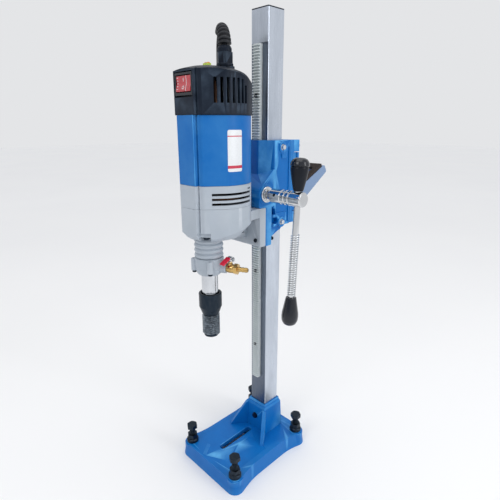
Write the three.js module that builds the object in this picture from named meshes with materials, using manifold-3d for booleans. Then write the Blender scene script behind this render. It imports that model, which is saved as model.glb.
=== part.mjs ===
// Core drill rig: a motor with a wet spindle on a carriage that a crank drives along a square column.
// Millimetres, +Z up. The origin is on the floor under the column's axis, the drill faces -Y and the
// crank is on +X. Each mesh is one separate piece, and pieces that touch keep a gap of 0.3 mm.
import * as THREE from "three";
import { mergeVertices } from "three/addons/utils/BufferGeometryUtils.js";
import Module from "manifold-3d";

const wasm = await Module();
wasm.setup();

// ---- Driving dimensions ----
const GAP = 0.3;
const COLUMN = { half: 20, wall: 3, bottom: 10, top: 853, plug: 2 };
const BASE = { height: 29, foot: 4, boltX: 66, frontY: -149.3, rearY: 30, lug: 14, waist: 71, deck: 10 };
const SOCKET = { half: 27.5, rear: 23, flare: 31, shoulder: 86, rim: 95, lip: 22 };
const SLOT = { x: -7, near: -116, far: -42, width: 12 };
const LEVEL = { shank: 6, hexFlats: 19, head: 8, heads: { fl: 69, fr: 74.5, rl: 69.5, rr: 69.5 } };
const RACK = { width: 15, front: -30, module: 1.5, teethBelow: 83, teethAbove: 52 };
const PINION = { teeth: 20, width: 16 };
const PITCH = Math.PI * RACK.module;
const PITCH_PLANE = RACK.front + RACK.module;
const CRANK = { y: PITCH_PLANE - (RACK.module * PINION.teeth) / 2, z: 552, tilt: THREE.MathUtils.degToRad(3.2) };
const HUB = { radius: 12.5, start: 50, end: 124, bar: 111.5, grooves: [81.5, 90.5, 99.5] };
const BAR = { radius: 5.4, gripTop: 67, gripBottom: 13, springTop: -57, springBottom: -170, end: -223 };
const CARRIAGE = { half: 40, inner: 24, front: -22, seam: 22, rear: 39, bottom: 490, top: 643 };
const PLATE = { back: -28, front: -43, bottom: 457, top: 528 };
const BRACKET = { front: -58, thick: 15 };
const PADBOLT = { y: -1, heights: [496, 631] };
const SPINDLE_Y = -142.6;
const MOTOR = { y: -120.5, radius: 57, front: -182, half: 20.5, wall: 4 };
const SEAM = { caseBottom: 487.5, caseTop: 541, ventTop: 577.5, blueTop: 683, capEdge: 746, dome: 757 };
const WATER = { top: 455.5, bottom: 420.5, radius: 27 };
const NECK_TOP = SEAM.caseBottom - GAP;
const ADAPTER = { rim: 385, body: 359, shoulder: 345.5, end: 302, radius: 20.4, thread: 15.9, pitch: 3.63 };
const VALVE = { angle: THREE.MathUtils.degToRad(25), z: 434 };
const GLAND = { y: -98.7, base: 758, flats: 23, top: 787.5 };
const COUNTER = { x: 21.4, y: -124.6, gear: 17, pinion: 5.6 };
const GEARS = { output: 22, motorPinion: 4.4 };
const CORD = { radius: 4, coilX: -74, coilY: -43.5, coilZ: 525.2, mean: 47, turnsWide: 4 };
const BOSS = { length: 52, radius: 12 };

// ---- Looks of the material classes ----
const paint = (color, roughness = 0.45, metalness = 0.1) =>
  new THREE.MeshStandardMaterial({ color, roughness, metalness });
const BLUE = paint(0x1478c8, 0.35);
const GREY = paint(0xa9b4bf, 0.5, 0.2);
const BLACK = paint(0x1b1e22, 0.55, 0);
const DARK_STEEL = paint(0x24272b, 0.4, 0.7);
const ZINC = paint(0xc9d0d6, 0.3, 0.9);
const CHROME = paint(0xe4e8ec, 0.12, 1);
const BRASS = paint(0xb98f4a, 0.3, 1);
const RED = paint(0xd81b46, 0.4, 0);
const COPPER = paint(0xa86a3d, 0.4, 0.8);
const SLATE = paint(0x8fa0b4, 0.45, 0.3);

// ---- Solids: closed geometries, joined and cut ----

/** A closed geometry as a solid, with its faces turned outwards. */
function solid(geometry) {
  const bare = geometry.clone();
  bare.deleteAttribute("normal");
  bare.deleteAttribute("uv");
  const merged = mergeVertices(bare, 1e-4);
  const corners = merged.index.array;
  const faces = [];
  for (let i = 0; i < corners.length; i += 3) {
    const [a, b, c] = [corners[i], corners[i + 1], corners[i + 2]];
    if (a !== b && b !== c && c !== a) faces.push(a, b, c);
  }
  const build = (list) =>
    new wasm.Manifold(
      new wasm.Mesh({
        numProp: 3,
        vertProperties: new Float32Array(merged.attributes.position.array),
        triVerts: new Uint32Array(list),
      }),
    );
  const made = build(faces);
  if (made.volume() >= 0) return made;
  for (let i = 0; i < faces.length; i += 3) [faces[i], faces[i + 1]] = [faces[i + 1], faces[i]];
  return build(faces);
}

/** The solid's surface as a geometry. */
function surface(body) {
  const mesh = body.getMesh();
  return new THREE.BufferGeometry()
    .setAttribute("position", new THREE.BufferAttribute(new Float32Array(mesh.vertProperties), 3))
    .setIndex(new THREE.BufferAttribute(new Uint32Array(mesh.triVerts), 1));
}

const join = (...parts) => surface(parts.map(solid).reduce((a, b) => a.add(b)));
const cut = (body, ...tools) => surface(tools.map(solid).reduce((a, b) => a.subtract(b), solid(body)));
const common = (a, b) => surface(solid(a).intersect(solid(b)));

/** A block between two corners. */
function block([x0, y0, z0], [x1, y1, z1]) {
  return new THREE.BoxGeometry(x1 - x0, y1 - y0, z1 - z0).translate(
    (x0 + x1) / 2,
    (y0 + y1) / 2,
    (z0 + z1) / 2,
  );
}

/** A round bar along Z; `sides` of 6 gives a hexagon with corners on X. */
function barZ(radius, z0, z1, [x, y] = [0, 0], sides = 20) {
  return new THREE.CylinderGeometry(radius, radius, z1 - z0, sides)
    .rotateX(Math.PI / 2)
    .translate(x, y, (z0 + z1) / 2);
}

/** A round bar along X. */
function barX(radius, x0, x1, [y, z] = [0, 0], sides = 20) {
  return new THREE.CylinderGeometry(radius, radius, x1 - x0, sides)
    .rotateZ(Math.PI / 2)
    .translate((x0 + x1) / 2, y, z);
}

/** A round bar along Y. */
function barY(radius, y0, y1, [x, z] = [0, 0], sides = 20) {
  return new THREE.CylinderGeometry(radius, radius, y1 - y0, sides).translate(x, (y0 + y1) / 2, z);
}

/** A profile of [radius, height] turned about Z; it starts and ends on the axis or is closed. */
function turned(profile, [x, y] = [0, 0], sides = 24) {
  const first = profile[0];
  const ring = first[0] > 0 ? [...profile, first] : profile;
  const points = ring.map(([r, z]) => new THREE.Vector2(r, z));
  return new THREE.LatheGeometry(points, sides).rotateX(Math.PI / 2).translate(x, y, 0);
}

/** A tube along Z. */
function sleeveZ(inner, outer, z0, z1, at, sides = 20) {
  return turned([[inner, z0], [outer, z0], [outer, z1], [inner, z1]], at, sides);
}

/** An outline in X and Y raised from z0 to z1. */
function raised(shape, z0, z1, curveSegments = 12) {
  return new THREE.ExtrudeGeometry(shape, { depth: z1 - z0, bevelEnabled: false, curveSegments }).translate(
    0,
    0,
    z0,
  );
}

/** An outline of [y, z] points carried from x0 to x1. */
function across(points, x0, x1) {
  const shape = new THREE.Shape(points.map(([y, z]) => new THREE.Vector2(y, z)));
  return new THREE.ExtrudeGeometry(shape, { depth: x1 - x0, bevelEnabled: false })
    .applyMatrix4(new THREE.Matrix4().set(0, 0, 1, x0, 1, 0, 0, 0, 0, 1, 0, 0, 0, 0, 0, 1));
}

/** The circle's corner radius for a hexagon of this width across flats. */
const hexRadius = (flats) => flats / Math.sqrt(3);

// ---- The group that holds every piece ----
const group = new THREE.Group();
const crankGroup = new THREE.Group();
crankGroup.position.set(0, CRANK.y, CRANK.z);
crankGroup.rotation.x = -CRANK.tilt;
group.add(crankGroup);

/** Adds one named piece. */
function piece(name, geometry, material, parent = group) {
  const mesh = new THREE.Mesh(geometry, material);
  mesh.name = name;
  parent.add(mesh);
}

const CORNERS = {
  fl: [-BASE.boltX, BASE.frontY],
  fr: [BASE.boltX, BASE.frontY],
  rl: [-BASE.boltX, BASE.rearY],
  rr: [BASE.boltX, BASE.rearY],
};

// ---- Base, column and rack ----

/** The base's outline: round corner lugs, a straight front and gently waisted sides. */
function baseOutline(grow = 0) {
  const lug = BASE.lug + grow;
  const waist = BASE.waist + grow;
  const { boltX, frontY, rearY } = BASE;
  const s = new THREE.Shape();
  s.absarc(boltX, frontY, lug, -Math.PI / 2, 0.35, false);
  s.bezierCurveTo(waist + 4, frontY + 22, waist, frontY + 34, waist, frontY + 62);
  s.lineTo(waist, rearY - 52);
  s.bezierCurveTo(waist, rearY - 30, waist + 4, rearY - 18, boltX + lug * Math.cos(0.35), rearY - lug * Math.sin(0.35));
  s.absarc(boltX, rearY, lug, -0.35, Math.PI / 2, false);
  s.lineTo(-boltX, rearY + lug);
  s.absarc(-boltX, rearY, lug, Math.PI / 2, Math.PI + 0.35, false);
  s.bezierCurveTo(-waist - 4, rearY - 18, -waist, rearY - 30, -waist, rearY - 52);
  s.lineTo(-waist, frontY + 62);
  s.bezierCurveTo(-waist, frontY + 34, -waist - 4, frontY + 22, -boltX - lug * Math.cos(0.35), frontY + lug * Math.sin(0.35));
  s.absarc(-boltX, frontY, lug, Math.PI - 0.35, Math.PI * 1.5, false);
  return s;
}

/** The diagonal rib that braces a front corner of the socket; `side` is 1 or -1. */
function socketRib(side) {
  const run = 39;
  const rib = across([[8, BASE.height - 2], [8, 84], [-3, 84], [-run, BASE.height + 4], [-run - 2, BASE.height - 2]], -3.5, 3.5);
  return rib.rotateZ(side * 0.62).translate(side * 25, -26, 0);
}

/** The column's socket with its stepped lip, as a stack of tapered frames. */
function socketBlock() {
  const frame = (z, half, front, rear) => [[-half, front, z], [half, front, z], [half, rear, z], [-half, rear, z]];
  const { half, rear, flare, shoulder, rim, lip } = SOCKET;
  const levels = [
    frame(BASE.height - 2, flare, -half - 0.5, rear),
    frame(shoulder, half, -half, rear),
    frame(shoulder + 3, half - 2, -half + 2, rear - 0.4),
    frame(shoulder + 3.5, lip + 1.5, -lip - 1.5, rear - 0.6),
    frame(rim, lip + 0.6, -lip - 0.6, rear - 0.8),
  ];
  return stack(levels);
}

/** A closed solid through rings of points, one ring above another, each with as many corners. */
function stack(levels) {
  const n = levels[0].length;
  const index = [];
  for (let k = 0; k + 1 < levels.length; k++)
    for (let i = 0; i < n; i++) {
      const [a, b] = [k * n + i, k * n + ((i + 1) % n)];
      index.push(a, b, b + n, a, b + n, a + n);
    }
  const last = (levels.length - 1) * n;
  for (let i = 1; i + 1 < n; i++) index.push(0, i + 1, i, last, last + i, last + i + 1);
  return new THREE.BufferGeometry()
    .setAttribute("position", new THREE.Float32BufferAttribute(levels.flat(2), 3))
    .setIndex(index);
}

function basePlate() {
  const wide = baseOutline(BASE.foot).getPoints(7);
  const narrow = baseOutline().getPoints(7);
  const ring = (points, z) => points.slice(0, -1).map((p) => [p.x, p.y, z]);
  const shell = surface(solid(loft(ring(wide, 0), ring(narrow, BASE.height))));
  const bosses = Object.values(CORNERS).map((at) => barZ(BASE.lug + 2, 0.5, BASE.height - 2, at, 16));
  const pocket = raised(pocketOutline(), -1, BASE.height - BASE.deck, 6);
  const seat = block([-SOCKET.flare - 6, -36, 0], [SOCKET.flare + 6, 32, BASE.height]);
  const slot = new THREE.Shape();
  slot.absarc(SLOT.x, SLOT.far, SLOT.width / 2, 0, Math.PI, false);
  slot.absarc(SLOT.x, SLOT.near, SLOT.width / 2, Math.PI, Math.PI * 2, false);
  const ribs = [socketRib(1), socketRib(-1)];
  const body = join(cut(shell, pocket), seat, socketBlock(), ...ribs, ...bosses);
  const bore = COLUMN.half + GAP;
  return cut(
    body,
    block([-bore, -bore, COLUMN.bottom - GAP], [bore, bore, SOCKET.rim + 5]),
    raised(slot, -5, BASE.height + 5, 5),
    barY(3.5, -SOCKET.half - 5, -COLUMN.half + 2, [0, 61], 10),
    ...Object.values(CORNERS).map((at) => barZ(LEVEL.shank + 0.4, -1, BASE.height + 2, at, 14)),
  );
}

/** The hollow under the base's deck, inside its rim. */
function pocketOutline() {
  const [x, y0, y1] = [BASE.waist - 9, BASE.frontY + 4, BASE.rearY + 4];
  return new THREE.Shape([
    new THREE.Vector2(-x, y0 + 18),
    new THREE.Vector2(-x + 18, y0),
    new THREE.Vector2(x - 18, y0),
    new THREE.Vector2(x, y0 + 18),
    new THREE.Vector2(x, y1 - 18),
    new THREE.Vector2(x - 18, y1),
    new THREE.Vector2(-x + 18, y1),
    new THREE.Vector2(-x, y1 - 18),
  ]);
}

/** A closed wall between two rings of equally many points, with flat ends of any outline. */
function loft(lower, upper) {
  const n = lower.length;
  const index = [];
  for (let i = 0; i < n; i++) {
    const j = (i + 1) % n;
    index.push(i, j, n + j, i, n + j, n + i);
  }
  const outline = lower.map(([x, y]) => new THREE.Vector2(x, y));
  for (const [a, b, c] of THREE.ShapeUtils.triangulateShape(outline, [])) index.push(a, c, b);
  const top = upper.map(([x, y]) => new THREE.Vector2(x, y));
  for (const [a, b, c] of THREE.ShapeUtils.triangulateShape(top, [])) index.push(n + a, n + b, n + c);
  return new THREE.BufferGeometry()
    .setAttribute("position", new THREE.Float32BufferAttribute([...lower, ...upper].flat(), 3))
    .setIndex(index);
}

function columnTube() {
  const { half, wall, bottom, top } = COLUMN;
  const soft = 1.5;
  const square = (h, c) => {
    const s = new THREE.Shape();
    s.absarc(h - c, -h + c, c, -Math.PI / 2, 0, false);
    s.absarc(h - c, h - c, c, 0, Math.PI / 2, false);
    s.absarc(-h + c, h - c, c, Math.PI / 2, Math.PI, false);
    s.absarc(-h + c, -h + c, c, Math.PI, Math.PI * 1.5, false);
    return s;
  };
  const shape = square(half, soft);
  shape.holes.push(square(half - wall, 0.8));
  const tube = raised(shape, bottom, top, 2);
  return cut(tube, barY(3.4, -half - 2, -half + wall + 2, [0, 61], 10));
}

function columnPlug() {
  const { half, wall, top, plug } = COLUMN;
  const inner = half - wall - GAP;
  return join(
    block([-half, -half, top + GAP], [half, half, top + plug]),
    block([-inner, -inner, top - 14], [inner, inner, top + 1]),
  );
}

/** The rack: straight teeth of one module with a bar behind them. */
function gearRack() {
  const { module, width, front, teethBelow, teethAbove } = RACK;
  const root = front + 2.25 * module;
  const [tip, foot] = [0.42 * module, 1.13 * module];
  const points = [];
  for (let k = -teethBelow; k <= teethAbove; k++) {
    const z = CRANK.z + k * PITCH;
    points.push([root, z - foot], [front, z - tip], [front, z + tip], [root, z + foot]);
  }
  const [z0, z1] = [CRANK.z - (teethBelow + 0.5) * PITCH, CRANK.z + (teethAbove + 0.5) * PITCH];
  const back = -COLUMN.half - GAP;
  return across([[root, z0], ...points, [root, z1], [back, z1], [back, z0]], -width / 2, width / 2);
}

function columnBolt() {
  const face = -SOCKET.half - GAP - 0.4;
  return join(
    barY(hexRadius(10), face - 4, face, [0, 61], 6),
    barY(3, face - 1, -COLUMN.half + 8, [0, 61], 10),
  );
}

function levellingScrew(corner) {
  const head = LEVEL.heads[corner];
  const at = CORNERS[corner];
  return join(
    barZ(hexRadius(LEVEL.hexFlats), head - LEVEL.head, head, at, 6),
    turned([[0, 0], [LEVEL.shank - 1.5, 0], [LEVEL.shank, 1.5], [LEVEL.shank, head - 1], [0, head - 1]], at, 14),
  );
}

function lockNut(corner) {
  const at = CORNERS[corner];
  const [z0, z1, z2] = [BASE.height + GAP, BASE.height + 8, BASE.height + 18];
  return cut(
    join(turned([[0, z0], [12.2, z0], [12.2, z1 - 2], [10.6, z1], [0, z1]], at, 20), barZ(hexRadius(18.4), z1 - 1, z2, at, 6)),
    barZ(LEVEL.shank + GAP, z0 - 1, z2 + 1, at, 14),
  );
}

function addStand() {
  piece("base_plate", basePlate(), BLUE);
  piece("column_tube", columnTube(), ZINC);
  piece("column_top_plug", columnPlug(), BLACK);
  piece("gear_rack", gearRack(), ZINC);
  piece("column_bolt", columnBolt(), DARK_STEEL);
  for (const corner of Object.keys(CORNERS)) {
    piece("lock_nut_" + corner, lockNut(corner), DARK_STEEL);
    piece("levelling_screw_" + corner, levellingScrew(corner), DARK_STEEL);
  }
}

// ---- Carriage ----

/** The carriage's plan: straight sides, and a faceted nose that covers the rack. */
function carriagePlan(half = CARRIAGE.half) {
  const { front, seam } = CARRIAGE;
  const points = [[half, seam], [-half, seam], [-half, front], [-12, -35], [12, -35], [half, front]];
  return new THREE.Shape(points.map(([x, y]) => new THREE.Vector2(x, y)));
}

function carriageHousing() {
  const { half, inner, seam, bottom, top } = CARRIAGE;
  const { back, front, bottom: low, top: high } = PLATE;
  const crank = [CRANK.y, CRANK.z];
  const nose = -60;
  const chamber = across(
    [[-20, high], [nose, high], [nose, 562], [-54, 567], [-24, 594], [-20, 594]],
    -half,
    half,
  );
  const skirt = across([[back - 1, low], [back - 1, high + 2], [-8, high + 2], [8, 492], [1, 481], [-5, 480], [-22, 472], [-27, 466]], -half + 4, half - 4);
  const body = join(
    raised(carriagePlan(), bottom, top),
    chamber,
    skirt,
    block([-half, front, low], [half, back, high + 1]),
    ...PADBOLT.heights.map((z) => barX(9.5, -half - 1.5, half + 1.5, [PADBOLT.y, z])),
    barX(17, -half - 1.5, half + 1.5, crank),
    barX(BOSS.radius, -half - BOSS.length, -half, crank, 16),
  );
  const panel = [[-17, 510], [-17, 620], [-10, 634], [17, 634], [17, 492], [10, 492], [10, 508]];
  const recess = (x0, x1) =>
    cut(across(panel, x0, x1), ...PADBOLT.heights.map((z) => barX(11.5, x0 - 1, x1 + 1, [PADBOLT.y, z])));
  const bore = COLUMN.half + GAP;
  return cut(
    body,
    block([-inner, -inner, low - 5], [inner, seam + 5, top + 5]),
    block([-10, -31.2, low - 5], [10, -inner + 1, top + 5]),
    block([-bore - 3.7, -bore - 3.7, low - 5], [bore + 3.7, 0, low + 60]),
    barX(18, -11, 11, crank, 24),
    barX(9, -half - BOSS.length - 8, half + 5, crank, 16),
    recess(half - 2.5, half + 3),
    recess(-half - 3, -half + 2.5),
    ...PADBOLT.heights.map((z) => barX(3.4, -half - 5, half + 5, [PADBOLT.y, z], 10)),
  );
}

function rearClamp() {
  const { half, inner, seam, rear, bottom, top } = CARRIAGE;
  const y0 = seam + GAP;
  const plan = [[half, y0], [half, rear - 8], [half - 8, rear], [-half + 8, rear], [-half, rear - 8], [-half, y0]];
  const shell = raised(new THREE.Shape(plan.map(([x, y]) => new THREE.Vector2(x, y))), bottom + 1, top);
  const waist = (x0, x1) => block([x0, y0 + 7, bottom + 16], [x1, rear + 1, top - 14]);
  const bore = block([-inner, y0 - 1, bottom - 5], [inner, inner, top + 5]);
  const strip = block([-15, COLUMN.half + GAP, bottom + 2], [15, inner + 1, top - 2]);
  const lug = (side) => {
    const x = [side * 31, side * half].sort((a, b) => a - b);
    return join(block([x[0], rear - 9, top - 22], [x[1], rear + 6.5, top]), block([x[0], rear - 9, bottom + 1], [x[1], rear + 6.5, bottom + 20]));
  };
  return join(cut(shell, bore, waist(half - 3, half + 1), waist(-half - 1, -half + 3)), strip, lug(1), lug(-1));
}

/** One side's wear pad: it wraps the column's side and half of its front. */
function guidePad(side) {
  const [i, o] = [COLUMN.half + GAP, CARRIAGE.inner - GAP];
  const plan = [[i, 17], [o, 17], [o, -o], [10.5, -o], [10.5, -i], [i, -i]];
  const shape = new THREE.Shape(plan.map(([x, y]) => new THREE.Vector2(side * x, y)));
  const pad = raised(shape, CARRIAGE.bottom + 2, CARRIAGE.top - 2);
  return pad;
}

/** A pad screw: its hex head is outside and its shank reaches the wear pad. */
function padBolt(side, z) {
  const face = CARRIAGE.half + 1.5 + GAP;
  const [head, shank] = [[face, face + 4.5], [CARRIAGE.inner + GAP, face + 1]];
  const span = ([a, b]) => (side > 0 ? [a, b] : [-b, -a]);
  return join(
    barX(hexRadius(10), ...span(head), [PADBOLT.y, z], 6),
    barX(6.8, ...span([face, face + 1.2]), [PADBOLT.y, z], 14),
    barX(3, ...span(shank), [PADBOLT.y, z], 10),
  );
}

/** A flanged bush for the pinion shaft; the left one sits at the end of the long boss. */
function bearingFlange(side) {
  const face = CARRIAGE.half + GAP + (side > 0 ? 1.5 : BOSS.length);
  const profile = [[6.4, -16], [8.7, -16], [8.7, 0], [14, 0], [14, 3], [12.6, 4.5], [6.4, 4.5]];
  return turned(profile, [0, 0], 20)
    .rotateY((side * Math.PI) / 2)
    .translate(side * face, CRANK.y, CRANK.z);
}

/** The gripping handle behind the clamp: a sloping cast strap. */
function rearHandle() {
  const y0 = CARRIAGE.rear + GAP;
  const strap = across([[y0, 500], [y0, 538], [82, 561], [141, 591], [149, 577], [89, 536], [60, 512]], -30, 30);
  return cut(strap, across([[58, 480], [58, 620], [132, 620], [132, 480]], -17, 17));
}

function handlePad() {
  const slope = Math.atan2(30, 59);
  const length = 52;
  return cut(block([-29, 6, 0], [29, 6 + length, 6]), block([-19, -5, -2], [19, 44, 8]))
    .rotateX(slope)
    .translate(0, 82, 561.4);
}

function motorBracket() {
  const { half } = CARRIAGE;
  const { bottom, top } = PLATE;
  const y1 = PLATE.front - GAP;
  const plate = block([-half, BRACKET.front, bottom + 0.5], [half, y1, top]);
  const arm = (side) => {
    const plan = [[side * half, BRACKET.front + 1], [side * half, -70], [side * 46, -86], [side * 24, -86], [side * 24, BRACKET.front + 1]];
    return raised(new THREE.Shape(plan.map(([x, y]) => new THREE.Vector2(x, y))), 511, top);
  };
  const web = across([[BRACKET.front + 1, 470], [-87, 478], [-108, 474], [-108, 484], [-84, 500], [-78, 524], [BRACKET.front + 1, 524]], -5, 5);
  const body = join(plate, arm(1), arm(-1), web);
  const clear = join(
    raised(motorOutline(GAP), SEAM.caseBottom + 14, SEAM.ventTop, 24),
    caseCone(GAP + 0.2),
    barZ(26.6, 440, NECK_TOP + 2, [0, SPINDLE_Y], 24),
  );
  return cut(body, clear, ...BRACKET_SCREWS.map(([x, z]) => barY(3.4, BRACKET.front - 2, y1 + 2, [x, z], 10)));
}

const BRACKET_SCREWS = [[30, 469], [-30, 469]];

function bracketScrew([x, z]) {
  const face = BRACKET.front - GAP;
  const screw = join(barY(3.9, face - 3, face, [x, z], 14), barY(3, face - 1, PLATE.front - 2, [x, z], 10));
  return cut(screw, barY(1.9, face - 6, face - 1.4, [x, z], 6));
}

function addCarriage() {
  piece("carriage_housing", carriageHousing(), BLUE);
  piece("rear_clamp", rearClamp(), BLUE);
  piece("guide_pad_left", guidePad(-1), BLACK);
  piece("guide_pad_right", guidePad(1), BLACK);
  PADBOLT.heights.forEach((z, i) => {
    piece("pad_bolt_right_" + ["lower", "upper"][i], padBolt(1, z), ZINC);
    piece("pad_bolt_left_" + ["lower", "upper"][i], padBolt(-1, z), ZINC);
  });
  piece("bearing_flange_right", bearingFlange(1), CHROME);
  piece("bearing_flange_left", bearingFlange(-1), CHROME);
  piece("rear_handle", rearHandle(), SLATE);
  piece("handle_pad", handlePad(), BLACK);
  piece("motor_bracket", motorBracket(), GREY);
  piece("bracket_screw_right", bracketScrew(BRACKET_SCREWS[0]), DARK_STEEL);
  piece("bracket_screw_left", bracketScrew(BRACKET_SCREWS[1]), DARK_STEEL);
}

// ---- Crank ----

/** The pinion: teeth of the rack's module, with a space facing the rack at rest. */
function pinionGear() {
  const { teeth, width } = PINION;
  const m = RACK.module;
  const radius = (m * teeth) / 2;
  const shape = new THREE.Shape();
  const step = (Math.PI * 2) / teeth;
  for (let k = 0; k < teeth; k++) {
    const a = (k + 0.5) * step;
    const corner = (r, offset) => [r * Math.cos(a + offset), r * Math.sin(a + offset)];
    const [rootR, tipR] = [radius - 1.22 * m, radius + 0.95 * m];
    const points = [corner(rootR, -0.29 * step), corner(tipR, -0.115 * step), corner(tipR, 0.115 * step), corner(rootR, 0.29 * step)];
    points.forEach(([y, z], i) => (k + i ? shape.lineTo(y, z) : shape.moveTo(y, z)));
  }
  return new THREE.ExtrudeGeometry(shape, { depth: width, bevelEnabled: false })
    .applyMatrix4(new THREE.Matrix4().set(0, 0, 1, -width / 2, 1, 0, 0, 0, 0, 1, 0, 0, 0, 0, 0, 1));
}

function pinionShaft() {
  return join(pinionGear(), barX(6, -CARRIAGE.half - BOSS.length - 7, 62, [0, 0], 16), barX(9.5, -10.5, 10.5, [0, 0], 18)).translate(0, CRANK.y, CRANK.z);
}

/** The crank's hub: a chromed bar with ring grooves and a cross hole for the sliding bar. */
function crankHub() {
  const { radius, start, end, bar, grooves } = HUB;
  const outline = [[0, start], [8.5, start], [8.5, start + 6], [radius, start + 8]];
  for (const g of grooves) outline.push([radius, g - 1.6], [radius - 1.3, g - 0.8], [radius - 1.3, g + 0.8], [radius, g + 1.6]);
  outline.push([radius, end - 1.5], [radius - 1.5, end], [0, end]);
  const body = turned(outline, [0, 0], 20).rotateY(Math.PI / 2);
  return cut(body, barX(6 + GAP, start - 1, 63, [0, 0], 18), barZ(BAR.radius + GAP, -20, 20, [bar, 0], 18));
}

/** The lower part of the bar carries a close spring, drawn as rings on a sleeve. */
function barSpring() {
  const { springTop, springBottom, radius } = BAR;
  const [rings, outer, inner] = [11, 7.7, radius + GAP];
  const step = (springTop - springBottom) / rings;
  const profile = [[inner, springBottom], [outer - 1, springBottom]];
  for (let k = 0; k < rings; k++) {
    const z = springBottom + k * step;
    profile.push([outer, z + step * 0.3], [outer, z + step * 0.7], [outer - 1, z + step]);
  }
  profile.push([inner, springTop]);
  return turned(profile, [HUB.bar, 0], 12);
}

function upperGrip() {
  const { gripTop: top, gripBottom: low, radius } = BAR;
  const rim = 16;
  const outer = [[7.6, low], [9, low + 3], [12, low + 16], [15, low + 30], [rim, low + 38], [15.4, low + 43]];
  const dome = [[13.2, top - 5], [8.6, top - 1.4], [0, top]];
  const hole = [[0, low + 40], [radius + GAP, low + 40], [radius + GAP, low]];
  return turned([...hole, ...outer, ...dome], [HUB.bar, 0], 20);
}

function lowerGrip() {
  const { springBottom, end, radius } = BAR;
  const top = springBottom - GAP;
  const outer = [[0, end], [7.5, end + 1.2], [12.6, end + 6], [14.7, end + 15], [14.4, end + 24], [11.6, end + 38], [9.2, top]];
  return turned([...outer, [radius + GAP, top], [radius + GAP, end + 20], [0, end + 20]], [HUB.bar, 0], 20);
}

function crankBar() {
  return barZ(BAR.radius, BAR.end + 20 + GAP, BAR.gripBottom + 40 - GAP, [HUB.bar, 0], 16);
}

function addCrank() {
  piece("pinion_shaft", pinionShaft(), ZINC);
  piece("crank_hub", crankHub(), CHROME, crankGroup);
  piece("crank_bar", crankBar(), CHROME, crankGroup);
  piece("crank_spring", barSpring(), ZINC, crankGroup);
  piece("crank_grip_upper", upperGrip(), BLACK, crankGroup);
  piece("crank_grip_lower", lowerGrip(), BLACK, crankGroup);
}

// ---- Motor ----

const BUBBLE = { x0: -6, y0: -138.5 };
const SWITCH_BACK = MOTOR.front + 7.5;

/** The motor's plan: a round body with a flat box on its front. */
function motorOutline(grow = 0, half = MOTOR.half, front = MOTOR.front) {
  const r = MOTOR.radius + grow;
  const w = half + grow;
  const angle = THREE.MathUtils.degToRad(-24.5);
  const side = [[w - 1, front - grow], [w, front - grow + 1], [w, -176.4 - grow], [w + 2.6, -177 - grow], [30.5 + grow, -173.5 - grow]];
  const s = new THREE.Shape();
  s.moveTo(-side[0][0], side[0][1]);
  for (const [x, y] of side) s.lineTo(x, y);
  s.absarc(0, MOTOR.y, r, angle, Math.PI - angle, false);
  for (const [x, y] of side.slice(1).reverse()) s.lineTo(-x, y);
  return s;
}

/** The same plan as a ring with a round hole. */
function motorRing(hole, grow, half, front) {
  const s = motorOutline(grow, half, front);
  s.holes.push(new THREE.Path().absarc(0, MOTOR.y, hole, 0, Math.PI * 2, false));
  return s;
}

/** The cone that shapes the gear case's underside. */
function caseCone(grow = 0) {
  const z = SEAM.caseBottom;
  const profile = [[0, z - grow], [45 + grow, z - grow], [61 + grow, z + 19], [66, z + 21], [66, SEAM.caseTop + 40], [0, SEAM.caseTop + 40]];
  return turned(profile, [0, MOTOR.y - 10.5], 36);
}

const CASE_SCREWS = [[-21.5, -163.5], [21.5, -163.5]];

function gearCase() {
  const { caseBottom: z0, caseTop: z1 } = SEAM;
  const hull = common(raised(motorOutline(), z0 - 2, z1 - GAP, 24), caseCone());
  const inside = common(
    raised(new THREE.Shape().absarc(0, MOTOR.y, 52, 0, Math.PI * 2, false), z0 + 6, z1 + 5, 24),
    caseCone(-6),
  );
  return cut(
    hull,
    inside,
    barZ(12.4, z0 - 5, z0 + 20, [0, SPINDLE_Y]),
    ...CASE_SCREWS.map((at) => barZ(6.2, z0 - 5, z0 + 4, at, 14)),
    ...CASE_SCREWS.map((at) => barZ(2.8, z0 - 5, z0 + 20, at, 8)),
  );
}

function caseScrew(at) {
  const z = SEAM.caseBottom + 4 - GAP;
  return cut(join(barZ(4.6, z - 4, z, at, 14), barZ(2.4, z - 1, z + 7, at, 8)), barZ(2.3, z - 5, z - 2, at, 6));
}

function ventRing() {
  const { caseTop: z0, ventTop: z1 } = SEAM;
  const ring = raised(motorRing(MOTOR.radius - MOTOR.wall), z0, z1 - GAP, 16);
  const slots = [569.4, 562.2, 555, 547.8].flatMap((z) => [
    block([33, -164, z - 1.6], [62, -92, z + 1.6]),
    block([-62, -164, z - 1.6], [-33, -92, z + 1.6]),
  ]);
  return cut(ring, ...slots);
}

function motorHousing() {
  return raised(motorRing(MOTOR.radius - MOTOR.wall), SEAM.ventTop, SEAM.blueTop - GAP, 24);
}

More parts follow.
